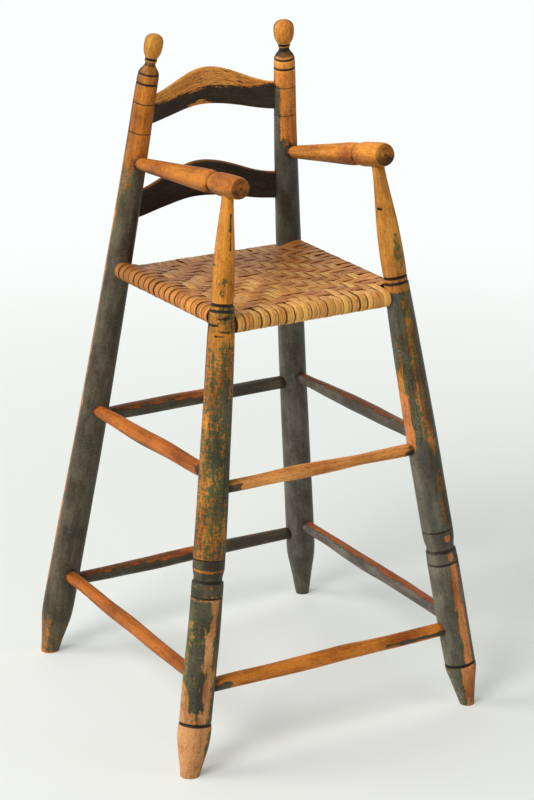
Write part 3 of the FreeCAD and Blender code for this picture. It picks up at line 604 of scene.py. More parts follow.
frontPost = {
    "ringAt": {"left": 0.2228, "right": 0.2512}, "lineBelow": {"left": 0.016, "right": 0.0185},
    "top": {"left": 0.7604, "right": 0.7466},
    "feet": {
        "left": [
            (-0.006, 0.0085), (0.007, 0.0109), (0.022, 0.0139), (0.038, 0.0172), (0.05, 0.0198),
            (0.056, 0.0207), (0.0595, 0.0205),
        ],
        "right": [
            (-0.006, 0.012), (0.005, 0.0131), (0.028, 0.0179), (0.042, 0.0203), (0.054, 0.0213),
            (0.0625, 0.0214), (0.0672, 0.0207),
        ],
    },
    "calf": {"left": (0.0203, 0.0207, 0.0207), "right": (0.0205, 0.0208, 0.0201)},
    "thigh": {"left": (0.0205, 0.0203, 0.0189), "right": (0.0202, 0.0195, 0.0182)},
    "baluster": {"left": 1.09, "right": 0.98},
    "bow": {
        "left": [
            (-0.01, 0.0014), (0.06, 0.0008), (0.14, 0.0003), (0.3, -0.0003), (0.5, -0.0006), (0.6, -0.0003),
            (0.7, 0.0007), (0.78, 0.0012),
        ],
        "right": [
            (-0.01, -0.0032), (0.03, -0.0016), (0.06, -0.0007), (0.1, 0.0003), (0.14, 0.0016), (0.18, 0.0031),
            (0.24, 0.0038), (0.32, 0.0038), (0.41, 0.0029), (0.46, 0.0025), (0.51, 0.0018), (0.55, 0.0011),
            (0.6, 0.0), (0.66, -0.0011), (0.78, -0.0018),
        ],
    },
    "make": {"step": 0.005, "uneven": 0.012, "floor": True},
    # runs of (height, radius), counted from the lip of the foot, from the ring, and from the floor
    "lipRun": [(0.0016, 0.0192), (0.0026, 0.0192)], "lipTop": 0.0040, "calfMiddle": 0.12,
    "line": {"depth": 0.0007, "width": 0.0016}, "upperLine": {"at": 0.0300, "depth": 0.0005, "width": 0.0014},
    "ringRun": [(-0.008, 0.0202), (0.0, 0.0199)], "stepRun": [(0.0, 0.0199), (0.0018, 0.0180)],
    "hollowRun": [(0.0018, 0.0180), (0.0052, 0.0181), (0.0110, 0.0190), (0.0160, 0.0200)],
    "thighEnds": (0.0290, 0.0310), "thighAt": (0.36, 0.47),
    "waist": [(0.542, 0.0173), (0.582, 0.0161), (0.5900, 0.0158)],
    "collar": [[(0.5900, 0.0158), (0.5915, 0.0146), (0.5930, 0.0151)], [(0.5930, 0.0151), (0.5976, 0.0151)]],
    "collarTop": [(0.5976, 0.0151), (0.5991, 0.0134)], "tip": 0.0074,
    "balusterRun": [
        (0.6006, 0.0138), (0.620, 0.0141), (0.640, 0.0137), (0.663, 0.0128), (0.687, 0.0110), (0.710, 0.0090),
        (0.730, 0.0076),
    ],
    # grime in the turned lines, and dark bands round the step with worn lines between on one side
    "lineGrime": [band(-0.001, 0.001, 0.9, 0.0008, 0.3)], "lipGrime": [band(0.0004, 0.0034, 1.4, 0.0012, 0.4)],
    "ringGrime": [
        band(0.0293, 0.0307, 0.8, 0.0008, 0.3), band(0.0004, 0.0030, 0.75, 0.0014, 0.5),
        band(-0.014, 0.029, 0.22, 0.003, 1.0),
    ],
    "seatGrime": [band(0.5904, 0.5926, 1.6, 0.0012, 0.5), band(0.5978, 0.6002, 1.6, 0.0012, 0.5)],
    "ringWear": [band(-0.012, 0.013, -0.20, 0.003, 0.8), band(0.0185, 0.0285, -0.20, 0.002, 0.9)],
    "wornLines": {
        "left": [],
        "right": [
            band(0.0146, 0.0168, 0.50, 0.0018, 1.8), band(-0.0056, -0.0030, 0.44, 0.0018, 2.0),
            band(0.0300, 0.0312, 0.35, 0.001, 1.6),
        ],
    },
    "lineWear": {"left": [], "right": [band(-0.003, -0.0018, 0.30, 0.0014, 1.8)]},
    "looks": {
        "right": {
            "seed": 5.7, "wear": 0.21, "ragged": 0.58, "fine": 0.72, "lathe": 0.55, "ruddy": (-0.05, 0.24, 0.9),
            "patches": [
                band(0.604, 0.8, 0.84, 0.008, 0.8), band(0.56, 0.602, 0.36, 0.012, 1.4),
                band(0.278, 0.45, 0.21, 0.016, 1.0), band(0.462, 0.553, 0.21, 0.014, 1.2),
                (-66, 28, 0.28, 0.44, 0.1, 26, 0.03, 1.2), (-66, 28, 0.46, 0.6, 0.12, 26, 0.03, 1.2),
                (74, 30, 0.27, 0.44, -0.1, 24, 0.05, 1.0), (32, 6, 0.455, 0.495, -0.62, 7, 0.014, 0.6),
                (52, 24, 0.49, 0.556, 0.12, 16, 0.02, 1.2), (-6, 18, 0.448, 0.482, -0.12, 16, 0.012, 1.6),
                (4, 26, 0.33, 0.365, -0.09, 16, 0.014, 1.6), (2, 34, 0.29, 0.45, 0.08, 22, 0.02, 1.2),
                (-10, 20, 0.385, 0.425, -0.14, 20, 0.02, 1.6), (-8, 10, 0.47, 0.56, 0.1, 12, 0.03, 1.4),
                (50, 6, 0.28, 0.35, 0.25, 8, 0.02, 0.9), (34, 5, 0.672, 0.704, -1.0, 5, 0.01, 1.0),
                (-4, 10, 0.606, 0.626, -0.36, 14, 0.01, 1.8), (20, 40, 0.61, 0.69, -0.16, 24, 0.03, 1.8),
                (34, 12, 0.078, 0.226, 0.56, 13, 0.012, 2.0), (-66, 24, 0.07, 0.112, 0.36, 20, 0.014, 2.2),
                (-10, 46, 0.078, 0.222, 0.07, 30, 0.02, 1.4), (-24, 40, 0.068, 0.082, 0.34, 20, 0.006, 1.6),
                band(-0.02, 0.066, 0.72, 0.002, 0.3), (-74, 20, 0.11, 0.19, 0.2, 16, 0.03, 1.4),
                (78, 16, 0.014, 0.064, -0.5, 12, 0.01, 1.2),
            ],
            "grime": [
                (0, 14, 0.5815, 0.5832, 0.9, 10, 0.001, 1.6), (-35, 12, 0.573, 0.5748, 0.9, 10, 0.001, 1.8),
                (20, 18, 0.5655, 0.5675, 0.9, 12, 0.001, 1.8), band(0.556, 0.586, 0.2, 0.005, 1.6),
                (25, 12, 0.583, 0.5848, 0.8, 10, 0.001, 1.6), (-10, 10, 0.56, 0.5618, 0.8, 10, 0.001, 1.6),
                # the patches at 94 and -92 degrees are painted shade down both sides of the post, and the one at
                # -62 degrees is painted shade on its lit left, evening out the lamps' light
                (-72, 16, 0.647, 0.6485, 0.8, 10, 0.001, 1.2), (94, 16, 0.27, 0.6, 0.36, 12, 0.01, 1.0),
                (94, 16, 0.6, 0.76, 0.14, 12, 0.01, 1.0), (-92, 16, 0.27, 0.76, 0.4, 14, 0.01, 1.0),
                (-62, 34, 0.55, 0.76, 0.26, 26, 0.01, 0.6),
            ],
            "tones": paintTones(
                stain=(172, 110, 46), wood=(226, 148, 54), woodDeep=(166, 96, 30), under=(72, 90, 41),
                paint=(56, 51, 40), paintPale=(98, 92, 74), ruddyTone=(204, 148, 98), ruddyDeep=(150, 100, 62),
            ),
        },
        "left": {
            "seed": 1.9, "wear": 0.09, "ragged": 0.56, "fine": 0.95, "lathe": 0.5, "ruddy": (-0.05, 0.44, 0.9),
            "patches": [
                band(0.603, 0.8, 0.9, 0.008, 0.7), band(0.582, 0.602, 0.7, 0.004, 0.8),
                (6, 34, 0.385, 0.58, 0.22, 24, 0.03, 0.8), (26, 7, 0.545, 0.59, 0.13, 12, 0.02, 0.8),
                (18, 5, 0.49, 0.56, 0.15, 11, 0.02, 0.8), (10, 4, 0.44, 0.515, 0.12, 11, 0.02, 0.8),
                (30, 16, 0.39, 0.57, 0.09, 16, 0.03, 1.6), (-64, 18, 0.48, 0.545, 0.12, 16, 0.02, 1.2),
                (-50, 19, 0.374, 0.436, 0.72, 9, 0.012, 0.9), (-60, 17, 0.43, 0.47, 0.56, 12, 0.014, 1.0),
                (24, 8, 0.385, 0.455, 0.16, 10, 0.02, 1.2), (40, 6, 0.25, 0.372, 0.42, 10, 0.03, 1.6),
                (33, 3, 0.2418, 0.2438, 1.4, 18, 0.0068, 0.3), (33, 4, 0.215, 0.217, 1.4, 19, 0.0074, 0.3),
                (39, 15, 0.062, 0.206, 0.7, 8, 0.008, 0.9), (50, 22, 0.24, 0.37, 0.14, 20, 0.03, 1.6),
                (62, 20, 0.38, 0.58, 0.09, 20, 0.03, 1.6), (-50, 24, 0.465, 0.52, 0.13, 20, 0.02, 1.4),
                band(0.548, 0.577, -0.12, 0.006, 1.2), (4, 16, 0.085, 0.16, 0.15, 14, 0.03, 1.9),
                (42, 36, -0.02, 0.058, 0.62, 16, 0.006, 1.0), (-40, 60, -0.02, 0.05, 0.16, 20, 0.006, 1.0),
                (-40, 30, 0.615, 0.7, -0.16, 24, 0.03, 1.8), (40, 16, 0.618, 0.648, -0.5, 14, 0.01, 1.9),
                (-20, 40, 0.0555, 0.059, 0.34, 20, 0.001, 0.8),
                (40, 2.2, 0.3788, 0.3815, 0.9, 1.6, 0.0012, 0.0),
            ],
            "grime": [
                (40, 44, -0.02, 0.057, 0.16, 16, 0.002, 0.8), (-4, 30, 0.39, 0.57, 0.12, 20, 0.02, 1.8),
                (2, 12, 0.07, 0.36, 0.32, 24, 0.03, 0.8), (6, 20, 0.6, 0.74, 0.16, 26, 0.02, 1.2),
                (-2, 16, 0.47, 0.57, 0.34, 18, 0.02, 0.8), (-40, 60, 0.55, 0.59, 0.12, 24, 0.006, 1.4),
                # the patches from 70 to 90 degrees darken the picture's right side, partly the post's own dark
                # brown and partly painted shade on the side away from the lamps; the one at -92 degrees is painted
                # shade on the baluster's left side
                (70, 30, 0.27, 0.36, 0.7, 30, 0.02, 0.8), (84, 20, 0.2, 0.26, 0.5, 22, 0.01, 0.8),
                (72, 28, 0.38, 0.58, 0.52, 28, 0.02, 0.8), (88, 20, 0.05, 0.21, 0.45, 20, 0.02, 0.8),
                (90, 14, 0.6, 0.76, 0.36, 18, 0.01, 1.0), (-92, 14, 0.6, 0.76, 0.3, 10, 0.01, 1.0),
                (-34, 9, 0.6885, 0.6905, 1.2, 6, 0.0012, 1.4),
            ],
            "tones": paintTones(
                stain=(160, 112, 52), wood=(224, 152, 64), woodDeep=(150, 90, 34), under=(80, 94, 44),
                paint=(89, 86, 75), paintPale=(126, 123, 106), ruddyTone=(232, 148, 88),
                ruddyDeep=(168, 99, 55),
            ),
        },
    },
}


def frontRuns(side):
    post = frontPost
    ring, foot, calf, thigh = [post[key][side] for key in ("ringAt", "feet", "calf", "thigh")]
    line = ring - post["lineBelow"][side]
    lip, lipTop = foot[-1], (foot[-1][0] + post["lipTop"], calf[0])
    halfLine, upper = post["line"]["width"] / 2, post["upperLine"]
    baluster = [(z, r * post["baluster"][side]) for z, r in post["balusterRun"]]

    def lifted(run, base):
        return [(base + z, r) for z, r in run]

    return [
        foot, [lip] + lifted(post["lipRun"], lip[0]) + [lipTop],
        [lipTop, (post["calfMiddle"], calf[1]), (line - halfLine, calf[2])],
        groove(line, calf[2], post["line"]["depth"], post["line"]["width"]),
        [(line + halfLine, calf[2])] + lifted(post["ringRun"], ring), lifted(post["stepRun"], ring),
        lifted(post["hollowRun"], ring) + [(ring + post["thighEnds"][0], thigh[0])],
        groove(ring + upper["at"], thigh[0], upper["depth"], upper["width"]),
        [(ring + post["thighEnds"][1], thigh[0])] + list(zip(post["thighAt"], thigh[1:])) + post["waist"],
    ] + post["collar"] + [post["collarTop"] + baluster[:1], baluster + [(post["top"][side], post["tip"])]]


def frontLook(side):
    post, look = frontPost, frontPost["looks"][side]
    ring, lip = post["ringAt"][side], post["feet"][side][-1][0]
    line = ring - post["lineBelow"][side]
    wear = moved(ring, post["ringWear"] + post["wornLines"][side]) + moved(line, post["lineWear"][side])
    grime = moved(line, post["lineGrime"]) + moved(ring, post["ringGrime"]) + moved(lip, post["lipGrime"])
    return dict(look, patches=look["patches"] + wear, grime=grime + post["seatGrime"] + look["grime"])


def buildPosts():
    rows = (("rear", rearPost, rearRuns, rearLook), ("front", frontPost, frontRuns, frontLook))
    for side in chair["sides"]:
        for row, post, makeRuns, makeLook in rows:
            name, look = "%sPost.%s" % (row, side), makeLook(side)
            foot, over = postPoint(row, side, 0.0), postPoint(row, side, 0.5)
            make = dict(post["make"], seed=look["seed"], bow=post["bow"][side])
            mesh = turnedMesh(name, foot, over - foot, towardPicture, makeRuns(side), make)
            paint = paintedMaterial("%sPaint.%s" % (row, side), look)
            addPiece(name, mesh, paint, ["%s_post_%s" % (row, side)])
    print("posts turned")


# arms: angle nought looks up, heights run from the rear post to the knob

arm = {
    "back": {"left": 0.6964, "right": 0.711}, "front": {"left": 0.7458, "right": 0.732}, "over": 0.027,
    "knob": {"left": 1.0, "right": 0.93}, "make": {"step": 0.003, "uneven": 0.01},
    "look": {
        "wear": 1.0, "ragged": 0.2, "fine": 0.7, "lathe": 0.75, "patches": [band(0.0, 0.022, -0.3, 0.006, 1.6)],
    },
    "tones": {
        "left": paintTones(wood=(220, 142, 52), woodDeep=(150, 80, 26)),
        "right": paintTones(wood=(204, 124, 40), woodDeep=(138, 70, 18)),
    },
    "seed": {"left": 2.6, "right": 6.2},
    "shaft": [
        (0.0094, 0.0078), (0.019, 0.0081), (0.045, 0.0094), (0.090, 0.0110), (0.136, 0.0127), (0.172, 0.0143),
        (0.188, 0.0147), (0.1965, 0.0145), (0.2005, 0.0136), (0.2030, 0.0121),
    ],
    "neck": [(0.2030, 0.0121), (0.2045, 0.0108), (0.2060, 0.0115)],
    "knobRun": [(0.2090, 0.0134), (0.2150, 0.0149), (0.2250, 0.0156), (0.2400, 0.0156)],
    "knobEnd": [(-0.012, 0.0153), (-0.005, 0.0146), (-0.0015, 0.0133), (0.0, 0.0117)],  # from the end
    "knobFace": [  # a turned line and the lathe's centre mark
        (0.0, 0.0081), (-0.0007, 0.0076), (0.0, 0.0071), (0.0, 0.0017), (-0.0025, 0.0011), (-0.0025, 0.0002),
    ],
    "grime": [  # grime in the neck, at the end of the knob and at the rear post, and painted shade along the underside
        band((0, 0.2035), (0, 0.2055), 0.5, 0.001, 0.4), band((1, -0.0016), (1, 0.001), 0.42, 0.001, 0.8),
        band((0, 0.0), (0, 0.019), 0.8, 0.004, 1.2), (180, 56, (0, 0.02), (1, 0.0), 0.42, 44, 0.01, 1.0),
    ],
    "dirt": {"left": [], "right": [band((0, 0.02), (1, 0.01), 0.12, 0.01, 1.0)]},
}


def armRuns(end, wide):
    knob = [(x, r * wide) for x, r in arm["knobRun"]] + [(end + x, r * wide) for x, r in arm["knobEnd"]]
    face = [(end + x, r) for x, r in arm["knobFace"]]
    return [arm["shaft"], arm["neck"], arm["neck"][-1:] + knob, knob[-1:] + face]


def buildArms():
    for side, seed in arm["seed"].items():
        back, front = postPoint("rear", side, arm["back"][side]), postPoint("front", side, arm["front"][side])
        end = (front - back).length + arm["over"]
        runs, make = armRuns(end, arm["knob"][side]), dict(arm["make"], seed=seed)
        mesh = turnedMesh("arm." + side, back, front - back, Vector((0, 0, 1)), runs, make)
        grime = spread(end, arm["grime"] + arm["dirt"][side])
        look = dict(arm["look"], seed=seed, tones=arm["tones"][side], grime=grime)
        addPiece("arm." + side, mesh, paintedMaterial("armWood." + side, look), ["arm_" + side])
    print("arms turned")


# stretchers: angle nought looks up; sizes run from one end to the other in equal shares

stretcher = {
    "tip": 0.0094, "front": {"upper": 0.3615, "lower": 0.1105}, "rear": {"upper": 0.3534, "lower": 0.106},
    "side": {
        "upper": {"left": (0.361, 0.375), "right": (0.368, 0.3802)},
        "lower": {"left": (0.1204, 0.122), "right": (0.1224, 0.1236)},
    },
    "thick": {
        "front.upper": (0.0079, 0.0079, 0.0078, 0.0083, 0.0088, 0.0087, 0.008, 0.0068, 0.0074, 0.008, 0.008),
        "front.lower": (0.009, 0.0094, 0.0095, 0.0097, 0.01, 0.0101, 0.0098, 0.0094, 0.0093, 0.0091, 0.0088),
        "rear.upper": (0.0082, 0.0096, 0.0102, 0.0104, 0.0104, 0.0102, 0.0098, 0.0094, 0.0091, 0.009, 0.0088),
        "rear.lower": (0.0089, 0.0092, 0.0096, 0.0101, 0.0105, 0.0106, 0.0104, 0.0098, 0.0094, 0.009, 0.0086),
        "side.upper.left": (
            0.008, 0.0081, 0.0087, 0.0094, 0.0101, 0.0106, 0.0106, 0.0103, 0.0099, 0.0095, 0.0093,
        ),
        "side.upper.right": (
            0.0084, 0.0088, 0.0095, 0.0101, 0.0105, 0.0107, 0.0104, 0.01, 0.0098, 0.0095, 0.0092,
        ),
        "side.lower.left": (
            0.0089, 0.0089, 0.0091, 0.0096, 0.0101, 0.0103, 0.01, 0.0097, 0.0096, 0.0096, 0.0096,
        ),
        "side.lower.right": (
            0.0082, 0.0084, 0.0088, 0.0091, 0.0093, 0.0094, 0.0093, 0.0092, 0.009, 0.0088, 0.0086,
        ),
    },
    "make": {"step": 0.006, "segments": 48, "uneven": 0.05, "lumps": 20},
    "shape": {
        "front": {"wander": 0.0022, "flats": 0.03}, "rear": {"wander": 0.0015, "flats": 0.04, "flatCount": 2},
        "side": {"wander": 0.0016, "flats": 0.04, "flatCount": 2},
    },
    "seed": {"front": 4.3, "rear": 7.7, "right": 1.2, "left": 9.2, "side": 1.2},
    "bare": {"wear": 0.95, "ragged": 0.3, "fine": 0.5, "lathe": 0.0},
    "bareTones": {
        "upper": paintTones(wood=(242, 168, 90), woodDeep=(186, 114, 54)),
        "lower": paintTones(wood=(212, 128, 46), woodDeep=(140, 70, 20)),
    },
    "ruddy": {
        "wear": 0.85, "ragged": 0.28, "fine": 0.6, "lathe": 0.0, "grime": [band(0.0, 1.0, 0.15, 0.01, 1.0)],
        "tones": paintTones(wood=(192, 108, 34), woodDeep=(126, 62, 16), stain=(158, 80, 36)),
    },
    "dark": {
        "wear": 0.12, "ragged": 0.3, "lathe": 0.0,
        "tones": paintTones(
            stain=(146, 78, 40), wood=(178, 98, 44), woodDeep=(126, 62, 28), under=(58, 56, 40),
        ),
    },
    "dullTones": paintTones(paint=(78, 70, 62), paintPale=(120, 112, 102)),
    "frontWear": {
        "upper": [
            (150, 60, (0, -0.01), (0, 0.034), -0.85, 40, 0.008, 1.6),
            (150, 60, (1, -0.026), (1, 0.01), -0.6, 40, 0.008, 1.6),
        ],
        "lower": [
            (150, 60, (0, -0.01), (0, 0.040), -0.85, 40, 0.008, 1.6),
            (150, 60, (1, -0.026), (1, 0.01), -0.6, 40, 0.008, 1.6),
            (95, 12, (0.72, 0), (1, -0.02), -0.62, 10, 0.01, 1.5),
            (40, 20, (0.80, 0), (1, -0.03), -0.22, 14, 0.01, 1.8),
        ],
    },
    "rearWear": [
        (8, 40, (0, 0.03), (0.60, 0), 0.42, 24, 0.03, 1.3), (14, 26, (0.55, 0), (1, -0.03), 0.28, 20, 0.04, 1.6),
        (80, 22, (0, 0.06), (0.5, 0), 0.18, 14, 0.03, 1.8),
    ],
    "leftWear": {
        "upper": [
            (-8, 40, (0, 0.03), (1, -0.03), 0.42, 16, 0.03, 1.2),
            (52, 14, (0, 0.05), (1, -0.05), 0.12, 12, 0.03, 1.5),
        ],
        "lower": [
            (-8, 40, (0, 0.03), (1, -0.03), 0.52, 16, 0.03, 1.2),
            (52, 14, (0, 0.05), (1, -0.05), 0.12, 12, 0.03, 1.5),
        ],
    },
    "rightWear": [(180, 40, (0, 0.0), (1, 0.0), -0.4, 26, 0.02, 1.0)],
    "socketGrime": [
        band((0, -0.01), (0, 0.022), 0.75, 0.006, 1.2), band((1, -0.022), (1, 0.01), 0.75, 0.006, 1.2),
    ],
}


def addRung(name, node, points, look, wear, make):
    start, end = points
    length, tip = (end - start).length, stretcher["tip"]
    thick = stretcher["thick"][name]
    last = len(thick) - 1
    run = [(tip + (length - 2 * tip) * k / last, radius) for k, radius in enumerate(thick)]
    make = dict(stretcher["make"], **make)
    mesh = turnedMesh("stretcher." + name, start, end - start, Vector((0, 0, 1)), [run], make)
    grime = look.get("grime", []) + spread(length, stretcher["socketGrime"])
    paint = paintedMaterial("finish." + name, dict(look, patches=spread(length, wear), grime=grime))
    addPiece("stretcher." + name, mesh, paint, [node])


def buildStretchers():
    seeds, shapes = stretcher["seed"], stretcher["shape"]
    dull = dict(stretcher["dark"]["tones"], **stretcher["dullTones"])
    for k, level in enumerate(("upper", "lower")):
        bare = dict(stretcher["bare"], tones=stretcher["bareTones"][level])
        across = (("front", bare, stretcher["frontWear"][level], "bare_wood"),
                  ("rear", stretcher["dark"], stretcher["rearWear"], "worn_paint"))
        for row, look, wear, slotName in across:
            points = [postPoint(row, side, stretcher[row][level]) for side in ("right", "left")]
            seed, node = seeds[row] + k, "%s_stretcher_%s" % (row, level)
            make = dict(shapes[row], seed=seed)
            addRung("%s.%s" % (row, level), node, points, dict(look, seed=seed), wear, make)
        along = (("left", dict(stretcher["dark"], tones=dull), stretcher["leftWear"][level]),
                 ("right", stretcher["ruddy"], stretcher["rightWear"]))
        for side, look, wear in along:
            rearZ, frontZ = stretcher["side"][level][side]
            points = [postPoint("rear", side, rearZ), postPoint("front", side, frontZ)]
            look, node = dict(look, seed=seeds[side] + k), "side_stretcher_%s_%s" % (level, side)
            make = dict(shapes["side"], seed=seeds["side"] + k + chair["sides"][side])
            addRung("side.%s.%s" % (level, side), node, points, look, wear, make)
    print("stretchers shaped")


# back slats

slat = {
    "z": {"top": 0.777, "lower": 0.649}, "postRadius": {"top": 0.0145, "lower": 0.0163},
    "half": 0.019, "crest": 0.0245, "arch": 0.0118, "bow": 0.022, "thick": 0.007, "tip": 0.004, "lean": 0.004,
    "edgeRound": 0.0022, "edgeSteps": 6, "columns": 88, "rows": 10, "sharp": 60,
    "wave": 0.0006, "waveScale": (30, 7),  # the edges waver along the board, each board its own way
    # wear: noises along the board, then soft thresholds by the height between its edges
    "boardScale": (0.05, 0.004), "broad": ((300, 300, 34), 5.0, 0.7), "dash": ((1100, 1100, 75), 3.0, 0.6),
    "dashShare": 0.9, "upperStep": (-0.02, 0.03), "scratchStep": (0.05, 0.15), "lowerStep": (0.05, -0.03),
    "topEdge": (0.945, 0.970), "lowEdge": (0.02, 0.0), "fine": 0.6, "bump": 0.0005,
    "looks": {
        "top": {
            "seed": 2.2, "wear": -0.05, "ragged": 0.2, "streak": 0.42, "scratch": 0.85, "centre": -0.012,
            "reach": 0.085, "climb": 0.34, "limit": 0.46, "lowFall": 5.0, "lowEdge": 0.12, "edgeWear": 0.62,
            "tones": paintTones(
                paint=(42, 35, 28), paintPale=(60, 51, 41), wood=(254, 182, 90), woodDeep=(208, 130, 58),
                stain=(160, 90, 36), under=(52, 50, 34),
            ),
        },
        "lower": {
            "seed": 6.6, "wear": -0.06, "ragged": 0.24, "streak": 0.16, "scratch": 0.0, "centre": 0.0,
            "reach": 0.085, "climb": 0.0, "limit": 1.5, "lowFall": 0.0, "lowEdge": -1.0, "edgeWear": 0.6,
            "tones": paintTones(
                paint=(37, 31, 26), paintPale=(52, 45, 37), stain=(158, 88, 40), under=(52, 48, 34),
            ),
        },
    },
}


def slatMesh(name, z, postRadius):
    middle = postPoint("rear", "left", z)
    half = middle.x
    edge, tip = half - postRadius, half - slat["tip"]
    big = (half * half + slat["bow"] ** 2) / (2 * slat["bow"])  # radius of the bow
    lean = Matrix.Translation((0, middle.y, z)) @ Matrix.Rotation(math.radians(chair["rearForward"]), 4, "X")
    soft, deep, rows = slat["edgeRound"], slat["thick"] / 2, slat["rows"]
    turns = [math.pi * k / slat["edgeSteps"] for k in range(1, slat["edgeSteps"])]
    mesh = bmesh.new()
    coords, columns = [], []
    for i in range(slat["columns"] + 1):
        x = -tip + 2 * tip * i / slat["columns"]
        shift = x + slat["lean"] * max(0.0, 1 - abs(x) / edge)  # the crest sits a little to one side
        rise = (1 - math.cos(math.pi * max(0.0, 1 - abs(shift) / edge))) / 2
        low, high = -slat["half"] + slat["arch"] * rise, slat["half"] + slat["crest"] * rise
        wave = slat["wave"] * noise.noise((x * slat["waveScale"][0], z * slat["waveScale"][1], 1.0))
        flat = high - low - 2 * soft
        section = [(-1, low + soft + flat * k / rows) for k in range(rows + 1)]
        section += [(-math.cos(turn), high - soft + soft * math.sin(turn)) for turn in turns]
        section += [(1, high - soft - flat * k / rows) for k in range(rows + 1)]
        section += [(math.cos(turn), low + soft - soft * math.sin(turn)) for turn in turns]
        bow = math.sqrt(max(0.0, big * big - x * x)) + slat["bow"] - big
        column = []
        for face, height in section:
            height += wave
            column.append(mesh.verts.new(lean @ Vector((x, bow + face * deep, height))))
            coords.append((x, face, (height - low) / (high - low)))
        columns.append(column)
    count = len(columns[0])
    for low, high in zip(columns, columns[1:]):
        for k in range(count):
            mesh.faces.new((low[k], high[k], high[(k + 1) % count], low[(k + 1) % count]))
    mesh.faces.new(columns[0])
    mesh.faces.new(list(reversed(columns[-1])))
    data = finishMesh(mesh, name, slat["sharp"])
    keepCoords(data, coords)
    return data


def slatMaterial(name, look):
    # wear by height between the lower and upper edge, streaked along the board
    material, tree = startMaterial(name)
    x, face, level = split(tree, pieceCoord(tree))
    tall, through = slat["boardScale"]
    board = joined(tree, calc(tree, "MULTIPLY", level, tall), calc(tree, "MULTIPLY", face, through), x)
    broad = calc(tree, "SUBTRACT", grainNoise(tree, board, *slat["broad"]), 0.5)
    dash = calc(tree, "SUBTRACT", grainNoise(tree, board, *slat["dash"]), 0.5)
    rough = calc(tree, "MULTIPLY_ADD", dash, slat["dashShare"], broad)
    line = calc(tree, "MULTIPLY_ADD", rough, look["streak"], level)
    aside = calc(tree, "ABSOLUTE", calc(tree, "SUBTRACT", x, look["centre"]))
    climb = calc(tree, "POWER", calc(tree, "DIVIDE", aside, look["reach"]), 2.0)
    limit = calc(tree, "MULTIPLY_ADD", climb, look["climb"], look["limit"])
    upper = ease(tree, calc(tree, "SUBTRACT", line, limit), *slat["upperStep"])
    scratch = calc(tree, "MULTIPLY", ease(tree, dash, *slat["scratchStep"]), look["scratch"])
    upper = calc(tree, "MULTIPLY", upper, calc(tree, "SUBTRACT", 1.0, scratch))
    fallen = calc(tree, "ADD", line, calc(tree, "MULTIPLY", aside, look["lowFall"]))
    lower = ease(tree, fallen, *[look["lowEdge"] + step for step in slat["lowerStep"]])
    edge = calc(tree, "MAXIMUM", ease(tree, level, *slat["topEdge"]), ease(tree, level, *slat["lowEdge"]))
    edge = calc(tree, "MULTIPLY", edge, look["edgeWear"])
    wear = calc(tree, "MAXIMUM", calc(tree, "MAXIMUM", upper, lower), edge)
    values = {
        "Coord": board, "Seed": look["seed"], "Wear": calc(tree, "ADD", wear, look["wear"]),
        "Ragged": look["ragged"], "Lathe": 0.0, "Fine": slat["fine"],
    }
    values.update(look["tones"])
    finishPaint(tree, values, slat["bump"])
    return material


def buildSlats():
    for level, radius in slat["postRadius"].items():
        mesh = slatMesh("backSlat." + level, slat["z"][level], radius)
        paint = slatMaterial("slatPaint." + level, slat["looks"][level])
        addPiece("backSlat." + level, mesh, paint, [level + "_slat"])
    print("slats bowed")


# woven seat

seat = {
    "z": 0.563, "rearRise": -0.010, "leftRise": 0.0024, "rightRise": 0.0086, "sideFall": 0.0046,
    "rung": 0.0095, "wrapGap": 0.0003, "thick": 0.0011, "lift": 0.0007,
    "warps": 19, "wefts": 18, "splintGap": 0.0003, "margin": 0.0008, "warpSeed": 4, "weftSeed": 9,
    "samples": 240, "ringPoints": 12, "frontPostRadius": 0.0164, "rearPostRadius": 0.0173,
    "cornerRamp": 0.020, "sideRamp": 0.055, "cornerRoom": 0.07, "edgeRoom": 0.018, "waveGain": 1.7,
    "loopEnds": (0.4, 0.5, 0.9),  # shares of the loop where top, far turn and underside end
    "placeSpread": 0.0004, "widthSpread": (0.84, 1.05), "proudSpread": 0.0005,
    "squareAside": 0.5, "squareProud": 0.75,  # below one, the section is fuller than an ellipse
    "wobble": {"strip": 3.7, "along": 26.0, "detail": 2.0, "side": 0.0022, "tilt": 0.0011}, "weld": 0.00002,
}


